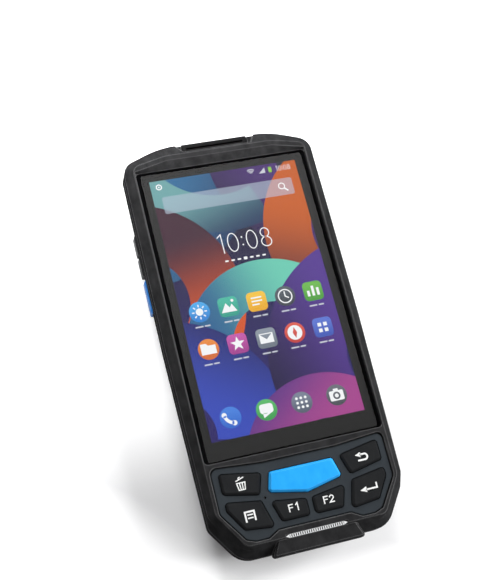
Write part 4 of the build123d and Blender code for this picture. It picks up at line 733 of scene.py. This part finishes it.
TIME_Y = 23.0
TIME_HEIGHT = 8.2
DAYS_Y = 15.6
DAY_STEP = 2.6
lit("large_time", ten_past(0.5, TIME_Y, TIME_HEIGHT, 0.42), SIGN_LEVEL, white_light)
days = [oblong(DAY_STEP * (i - 3), DAYS_Y, 1.5, 0.7 if i != 3 else 1.2, 0.3) for i in range(7)]
lit("day_marks", days, SIGN_LEVEL, white_light)
print("figures", TIME_HEIGHT, "mm tall")

# %% [markdown]
# The status row runs along the top edge: a ring at the left, and at the right the fan and the wedge
# that stand for the two kinds of reception, a green cell for the battery, and the time once more in
# figures of 2.3 mm.

# %% Status signs
STATUS_DROP = 2.6
RING_X = -27.6
FAN_X = 11.4
WEDGE_X = 16.0
CELL_X = 19.6
SMALL_TIME_X = 25.0
SMALL_TIME_HEIGHT = 2.3
status_y = half_l - STATUS_DROP
fan = [stroke(arc(FAN_X, status_y - 1.0, radius, 50, 130, 8), 0.4) for radius in (0.9, 1.6, 2.3)]
wedge = moved([[(-1.4, -1.1), (1.4, -1.1), (1.4, 1.3)]], WEDGE_X, status_y)
lit("status_signs", fan + wedge, SIGN_LEVEL, glow("status_grey", "#c9ccd4"))
cell = oblong(CELL_X, status_y, 1.4, 2.4, 0.2)
lit("status_battery", [cell], SIGN_LEVEL, glow("battery_green", "#8cc63f"))
small_time = ten_past(SMALL_TIME_X, status_y, SMALL_TIME_HEIGHT, 0.21)
lit("small_time", small_time, SIGN_LEVEL, white_light)
ring = [circle(RING_X, status_y - 0.2, radius) for radius in (1.3, 0.8, 0.35)]
lit("status_ring", ring, SIGN_LEVEL, white_light)
print("status row at", round(status_y, 1), "mm above the picture's middle")

# %% [markdown]
# Each program sign is a plate with one everyday symbol on it. The symbols are drawn about zero, in
# millimetres, and moved to their place in the row.

# %% Program signs
def star(points, outer, inner):
    """Outline of a star about zero."""
    corners = []
    for i in range(2 * points):
        angle = math.radians(90 + 180 * i / points)
        radius = outer if i % 2 == 0 else inner
        corners.append((radius * math.cos(angle), radius * math.sin(angle)))
    return corners


def box(x, y, width, height):
    """Outline of a plain rectangle about its middle."""
    return [(x - width / 2, y - height / 2), (x + width / 2, y - height / 2),
            (x + width / 2, y + height / 2), (x - width / 2, y + height / 2)]


def ray(angle, start, end, width):
    """Outline of a short line that points away from zero."""
    x = math.cos(angle)
    y = math.sin(angle)
    return stroke([(start * x, start * y), (end * x, end * y)], width)


ROUND = [circle(0, 0, 4.2)]
SQUARE = [oblong(0, 0, 8.0, 8.0, 1.8)]
symbols = {
    "sun": [circle(0, 0, 1.5)] + [ray(math.tau * i / 8, 2.0, 3.0, 0.5) for i in range(8)],
    "hills": [[(-3.2, -2.2), (-0.9, 1.6), (0.5, -0.4), (1.5, 1.0), (3.2, -2.2)],
              circle(2.0, 2.3, 0.6)],
    "note": [stroke([(-2.2, 1.6), (2.2, 1.6)], 0.6), stroke([(-2.2, 0.2), (2.2, 0.2)], 0.6),
             stroke([(-2.2, -1.2), (0.8, -1.2)], 0.6)],
    "chart": [box(-2.0, -0.8, 1.1, 2.4), box(0, 0.1, 1.1, 4.2), box(2.0, -0.4, 1.1, 3.2)],
    "dial": [circle(0, 0, 3.0), circle(0, 0, 2.5), stroke([(0, 2.0), (0, 0), (1.4, -0.9)], 0.5)],
    "folder": [[(-3.0, -2.0), (3.0, -2.0), (3.0, 1.5), (0.1, 1.5), (-0.7, 2.4), (-3.0, 2.4)]],
    "star": [star(5, 3.0, 1.25)],
    "letter": [box(0, 0, 5.6, 4.0), [(-2.4, 1.6), (2.4, 1.6), (0, -0.5)]],
    "compass": [circle(0, 0, 3.0), [(0, 2.3), (0.9, 0), (0, -2.3), (-0.9, 0)]],
    "sums": [box(x, y, 1.5, 1.5) for x in (-1.2, 1.2) for y in (-1.2, 1.2)],
    "handset": [stroke(arc(1.6, 1.6, 3.9, 190, 260, 10), 1.3), circle(-2.3, 1.2, 1.0),
                circle(1.1, -2.3, 1.0)],
    "speech": [oblong(0, 0.5, 5.4, 3.8, 1.2), [(-1.6, -1.2), (0.2, -1.2), (-1.6, -3.0)]],
    "dots": [circle(x, y, 0.55) for x in (-1.8, 0, 1.8) for y in (-1.8, 0, 1.8)],
    "camera": [oblong(0, -0.2, 5.8, 4.0, 0.6), circle(0, -0.2, 1.5), circle(0, -0.2, 0.8),
               box(0, 2.2, 2.0, 0.8)],
}
print(len(symbols), "symbols")

# %% [markdown]
# The plates come in two shapes and in everyday signal colours, each a little lighter at its top. Ten
# of them stand in two rows of five, and four stand in the dock below, wider apart. Under each of the
# ten lie two small bars where a name would be.

# %% Rows and dock
plates = [
    # symbol, plate, its two colours
    ("sun", ROUND, "#2a7fd0", "#4aa8e8"), ("hills", SQUARE, "#2f9c88", "#48b8a0"),
    ("note", SQUARE, "#e8a820", "#f4c440"), ("dial", ROUND, "#3a4048", "#545c66"),
    ("chart", SQUARE, "#4a9c3c", "#6cb84c"), ("folder", ROUND, "#d0662a", "#e88a3c"),
    ("star", SQUARE, "#a03a8c", "#c454a8"), ("letter", SQUARE, "#6a7480", "#8c96a2"),
    ("compass", ROUND, "#c23a34", "#dc5a4c"), ("sums", SQUARE, "#3c56b4", "#5a74d0"),
]
dock = [("handset", ROUND, "#2f66c8", "#4480dc"), ("speech", ROUND, "#3c9c50", "#58b868"),
        ("dots", ROUND, "#565e70", "#788094"), ("camera", ROUND, "#484c54", "#6a6e78")]
COLUMN = 11.8
ROW = 15.4
FIRST_ROW_Y = -3.0
DOCK_COLUMN = 14.4
DOCK_RISE = 8.0
spots = [((i % 5 - 2) * COLUMN, FIRST_ROW_Y - ROW * (i // 5)) for i in range(len(plates))]
dock_spots = [((i - 1.5) * DOCK_COLUMN, -half_l + DOCK_RISE) for i in range(len(dock))]
white_outlines = []
label_outlines = []
for (name, plate, dark, light), (x, y) in zip(plates + dock, spots + dock_spots):
    lit("plate_" + name, moved(plate, x, y), PLATE_LEVEL, glow(name, dark, light, 90, (x, y), 4.0))
    white_outlines += moved(symbols[name], x, y)
    if (x, y) in spots:
        label_outlines += [box(x - 1.4, y - 6.0, 3.2, 0.6), box(x + 1.9, y - 6.0, 2.2, 0.6)]
lit("program_symbols", white_outlines, SIGN_LEVEL, white_light)
lit("program_labels", label_outlines, SIGN_LEVEL, glow("label_grey", "#c4c8d2"))
print(len(plates) + len(dock), "program signs")

# %% [markdown]
# ## Key legends
#
# The legends are white ink, printed on the key tops and baked. The coat is some hundredths of a
# millimetre thick, so each legend is a very thin plate that rides on its key. A coat that lay in the
# key's own plane would flicker, so it is lifted by the least amount that shows.

# %% Legend ink
legend_white = printed_ink("legend_ink", "#d9dad9", "#e9eae9", 0.5, 0.4)
LEGEND_LIFT = 0.005
LEGEND_THICKNESS = 0.02


def legend(key, outlines, shift_x, shift_y):
    """Print outlines, drawn about zero, on top of a key, a little off the middle of its box."""
    low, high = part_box(key)
    x = (low.x + high.x) / 2 / MM + shift_x
    y = (low.y + high.y) / 2 / MM + shift_y
    thin_plate("legend_" + key, moved(outlines, x, y), high.z / MM + LEGEND_LIFT,
               LEGEND_THICKNESS, legend_white, key)


print("ink", LEGEND_THICKNESS, "mm thick")

# %% [markdown]
# The corner keys carry the everyday signs for delete, back, menu and enter: a bin with its lid ajar,
# an arrow that turns round, a sheet with two lines, and an arrow with a bend. Each is drawn about
# zero and moved onto its key. A corner key isn't a plain box, so the middle of what the eye sees of
# it is a little off the middle of its box, and each sign has its own small shift.

# %% Signs on the corner keys
BIN_TOP = 1.05
BIN_LOW = -2.0
bin_wall = [(-1.85, BIN_TOP), (1.85, BIN_TOP), (1.35, BIN_LOW), (-1.35, BIN_LOW)]
bin_slots = [[(1.05 * i - 0.3, BIN_TOP - 0.4), (1.05 * i + 0.3, BIN_TOP - 0.4),
              (0.8 * i + 0.22, BIN_LOW + 0.4), (0.8 * i - 0.22, BIN_LOW + 0.4)]
             for i in (-1, 0, 1)]
bin_lid = stroke([(-1.85, 1.65), (1.45, 2.75)], 0.42)
bin_knob = stroke([(-0.7, 2.3), (-0.55, 2.8), (0.15, 3.0)], 0.3)
legend("key_delete", [bin_wall, *bin_slots, bin_lid, bin_knob], -0.324, -0.359)

bow = arc(1.2, 0.0, 1.1, 75, -75, 12)
turn = stroke([(-0.6, 1.1), (1.2, 1.1), *bow, (1.2, -1.1), (-1.7, -1.1)], 0.66)
legend("key_back", [turn, [(-2.55, 1.05), (-0.25, 2.0), (-0.25, 0.05)]], 0.074, -0.209)

arch = stroke([(-1.8, -1.9), (-1.8, 1.85), (1.75, 1.85), (1.75, -1.7)], 0.66)
menu_lines = [stroke([(-1.05, y), (1.1, y)], 0.5) for y in (0.7, -0.5)]
legend("key_menu", [arch, *menu_lines], 0.020, -0.577)

bend = stroke([(-1.1, -0.05), (3.4, -0.05), (3.4, 1.9)], 0.62)
legend("key_enter", [bend, [(-3.45, 0.0), (-0.8, 1.15), (-0.8, -1.1)]], -0.320, -0.677)
print("signs on four keys")

# %% [markdown]
# The two function keys carry an upright letter and a figure, 2.9 mm tall, drawn with a 0.44 mm pen.
# The upper arm and the stem of the F are one stroke. Its middle arm starts a hair to the right of
# the stem, because two outlines that share an edge would cancel each other out.

# %% Letter and figures
LETTER_HALF = 1.45
LETTER_PEN = 0.44


def letter_f(x):
    """Strokes of an upright F with its left edge at x."""
    stem = x + LETTER_PEN / 2
    upper = LETTER_HALF - LETTER_PEN / 2
    middle = 0.1
    return [stroke([(stem, -LETTER_HALF), (stem, upper), (x + 1.95, upper)], LETTER_PEN),
            stroke([(x + LETTER_PEN + 0.01, middle), (x + 1.75, middle)], LETTER_PEN * 0.9)]


foot = LETTER_PEN / 2 - LETTER_HALF
head = arc(0.6, LETTER_HALF - 0.95, 0.75, 160, -20, 10)
one = stroke([(2.35, -LETTER_HALF), (2.35, LETTER_HALF), (1.55, LETTER_HALF - 0.75)], LETTER_PEN)
two = stroke([(-0.2, LETTER_HALF - 0.85), *head, (-0.25, foot), (1.55, foot)], LETTER_PEN)
legend("key_f1", letter_f(-1.3) + [one], 0.044, 0.002)
legend("key_f2", letter_f(-2.7) + [two], 0.006, 0.002)

# %% [markdown]
# ## Camera
#
# The camera looks down over the near left corner of the terminal, rolled a little so that the body
# leans to the left. A long lens keeps the far end from looking small. Its focal length is given in
# millimetres for a 36 mm frame along the upright side.

# %% Camera
camera_data = bpy.data.cameras.new("camera")
camera_data.sensor_fit = "VERTICAL"
camera_data.sensor_height = 36.0
camera_data.lens = 69.15
camera = bpy.data.objects.new("camera", camera_data)
camera.location = (-0.11076, -0.10290, 0.43425)
camera.rotation_euler = Euler([math.radians(a) for a in (18.936, -10.508, -14.275)])
bpy.context.scene.collection.objects.link(camera)
bpy.context.scene.camera = camera
print("lens", camera_data.lens, "mm")

# %% [markdown]
# ## Floor
#
# The floor is a matt white card that catches the soft shadow. A card lit no brighter than the object
# would come out grey, so it also glows, but only for rays that reach the eye, directly or by way of
# a shine or a glass. That makes the background white with no more light on the object.
#
# A light path node tells which kind of ray is asking, so one function can answer the eye's rays
# with one number and all the others with another.

# %% Light for the eye only
def for_the_eye(tree, lifted, plain):
    """Number that is lifted for camera, shine and glass rays, and plain for the rest."""
    path = add(tree, "LightPath")
    seen = path.outputs["Is Camera Ray"]
    for kind in ("Is Glossy Ray", "Is Transmission Ray"):
        seen = add(tree, "Math", {0: seen, 1: path.outputs[kind]}, operation="MAXIMUM").outputs[0]
    return add(tree, "MapRange", {
        "Value": seen, "To Min": plain, "To Max": lifted}).outputs["Result"]


print("helper ready:", for_the_eye.__name__)

# %% [markdown]
# A glow all over would wash out the shadow. It is weakest round the terminal's near end, where the
# lamp's shadow falls, and is lifted along four directions that lead away from that place. Farther off
# it rises to full white. This uneven glow is painted light: it whitens the card where the shadow
# should not show, so the glow trims the shadow's outline. The card itself is a pale grey-white with
# slow, hardly visible clouds.

# %% Card
FLOOR_GLOW = 0.02
LIFTS = [
    # direction on the floor, the millimetres along it where the lift starts and ends, its strength
    ((0.0, 1.0, 0.0), -55.0, -12.0, 0.4),
    ((0.0, -1.0, 0.0), 87.0, 97.0, 0.32),
    ((-0.75, -0.66, 0.0), 75.0, 90.0, 0.32),
    ((1.0, -0.2, 0.0), 50.0, 66.0, 0.32),
]
WHITE_START = 0.14
WHITE_END = 0.40
floor_finish, tree = new_finish("matt_white_card")
place = add(tree, "TexCoord").outputs["Object"]
clouds = add(tree, "TexNoise", {"Vector": place, "Scale": per_metre(60.0)})
tone = add(tree, "MixRGB", {
    "Fac": clouds.outputs["Fac"], "Color1": linear("#f3f3f4"), "Color2": linear("#f5f5f6")})
card = add(tree, "BsdfDiffuse", {"Color": tone.outputs["Color"]})
glow_here = FLOOR_GLOW
# painted light: the glow is lifted unevenly to trim where the lamp's shadow shows
for direction, start, end, strength in LIFTS:
    along = add(tree, "VectorMath", {0: place, 1: direction}, operation="DOT_PRODUCT")
    lift = add(tree, "MapRange", {
        "Value": along.outputs["Value"], "From Min": start * MM, "From Max": end * MM,
        "To Min": FLOOR_GLOW, "To Max": strength}, interpolation_type="SMOOTHSTEP")
    glow_here = add(tree, "Math", {
        0: glow_here, 1: lift.outputs["Result"]}, operation="MAXIMUM").outputs["Value"]
away = add(tree, "VectorMath", {0: place}, operation="LENGTH").outputs["Value"]
far_glow = add(tree, "MapRange", {"Value": away, "From Min": WHITE_START, "From Max": WHITE_END})
glow_here = add(tree, "Math", {
    0: glow_here, 1: far_glow.outputs["Result"]}, operation="MAXIMUM").outputs["Value"]
shine = add(tree, "Emission", {"Strength": for_the_eye(tree, glow_here, 0.0)})
both = add(tree, "AddShader", {0: card.outputs[0], 1: shine.outputs[0]})
add(tree, "OutputMaterial", {"Surface": both.outputs[0]})
floor_finish.cycles.emission_sampling = "NONE"
print("card", floor_finish.name, "with", len(LIFTS), "lifts")

# %% [markdown]
# The card is one large square. It lies a fifth of a millimetre below the terminal's back, so that the
# two faces don't share a plane.

# %% Floor
FLOOR_REACH = 1.5
FLOOR_DROP = 0.0002
floor_mesh = bpy.data.meshes.new("floor")
corners = [(-FLOOR_REACH, -FLOOR_REACH, 0), (FLOOR_REACH, -FLOOR_REACH, 0),
           (FLOOR_REACH, FLOOR_REACH, 0), (-FLOOR_REACH, FLOOR_REACH, 0)]
floor_mesh.from_pydata(corners, [], [(0, 1, 2, 3)])
floor_mesh.materials.append(floor_finish)
floor = bpy.data.objects.new("floor", floor_mesh)
floor.location.z = -FLOOR_DROP
bpy.context.scene.collection.objects.link(floor)
print("floor", 2 * FLOOR_REACH, "m wide")

# %% [markdown]
# ## World
#
# The room sends a little even light from everywhere. To the eye it is plain white. In a shine it is
# white too, and it is brighter high up beyond the scan end, like a lit ceiling panel without edges.
# Flat glass mirrors that part of the room, so its border runs slowly from lighter at the far end to
# darker at the near end.

# %% World
ROOM_LIGHT = 0.18
PANEL_EXTRA = 1.1
PANEL_ONWARD = (0.12, 0.4)  # share of a ray's heading that points to the scan end: start and full
PANEL_OVERHEAD = (0.5, 0.8)  # share of it that points up
world = bpy.data.worlds.new("studio")
bpy.context.scene.world = world
world.use_nodes = True
tree = world.node_tree
tree.nodes.clear()
heading = add(tree, "SeparateXYZ", {"Vector": add(tree, "TexCoord").outputs["Generated"]})
onward = add(tree, "MapRange", {
    "Value": heading.outputs["Y"], "From Min": PANEL_ONWARD[0], "From Max": PANEL_ONWARD[1],
    "To Max": PANEL_EXTRA})
overhead = add(tree, "MapRange", {
    "Value": heading.outputs["Z"], "From Min": PANEL_OVERHEAD[0], "From Max": PANEL_OVERHEAD[1]})
ceiling = add(tree, "Math", {
    0: onward.outputs["Result"], 1: overhead.outputs["Result"], 2: 1.0},
    operation="MULTIPLY_ADD").outputs["Value"]
mirrored = for_the_eye(tree, ceiling, ROOM_LIGHT)
seen_directly = add(tree, "LightPath").outputs["Is Camera Ray"]
strength = add(tree, "MapRange", {
    "Value": seen_directly, "To Min": mirrored, "To Max": 1.0}).outputs["Result"]
room = add(tree, "Background", {"Color": (1.0, 1.0, 1.0, 1.0), "Strength": strength})
add(tree, "OutputWorld", {"Surface": room.outputs[0]})
print("room light", ROOM_LIGHT)

# %% [markdown]
# ## Lamps
#
# A lamp at the right, a little in front, is the main light: it throws the soft shadow to the left
# and its size sets how soft that is. A weak small lamp close above the far end picks out the brow's
# slope, and a faint wide one at the left keeps the left wall from going black. None of them shows in
# a shine: a square lamp in the glass would read as a sheet of paper.

# %% Lamps
def soft_lamp(name, place, size, watts, target=(0.0, 0.0, 0.0)):
    """Square area lamp that faces a point of the terminal."""
    data = bpy.data.lights.new(name, "AREA")
    data.shape = "SQUARE"
    data.size = size
    data.energy = watts
    lamp = bpy.data.objects.new(name, data)
    lamp.location = place
    lamp.rotation_euler = (Vector(target) - Vector(place)).to_track_quat("-Z", "Y").to_euler()
    lamp.visible_glossy = False
    bpy.context.scene.collection.objects.link(lamp)


soft_lamp("top_lamp", (-0.06, 0.20, 0.15), size=0.1, watts=0.8, target=(0.0, 0.05, 0.0))
soft_lamp("side_lamp", (0.66, -0.13, 0.45), size=0.45, watts=9.0)
soft_lamp("fill_lamp", (-0.60, 0.30, 0.60), size=0.5, watts=0.8)
bpy.context.scene.view_settings.view_transform = "Standard"
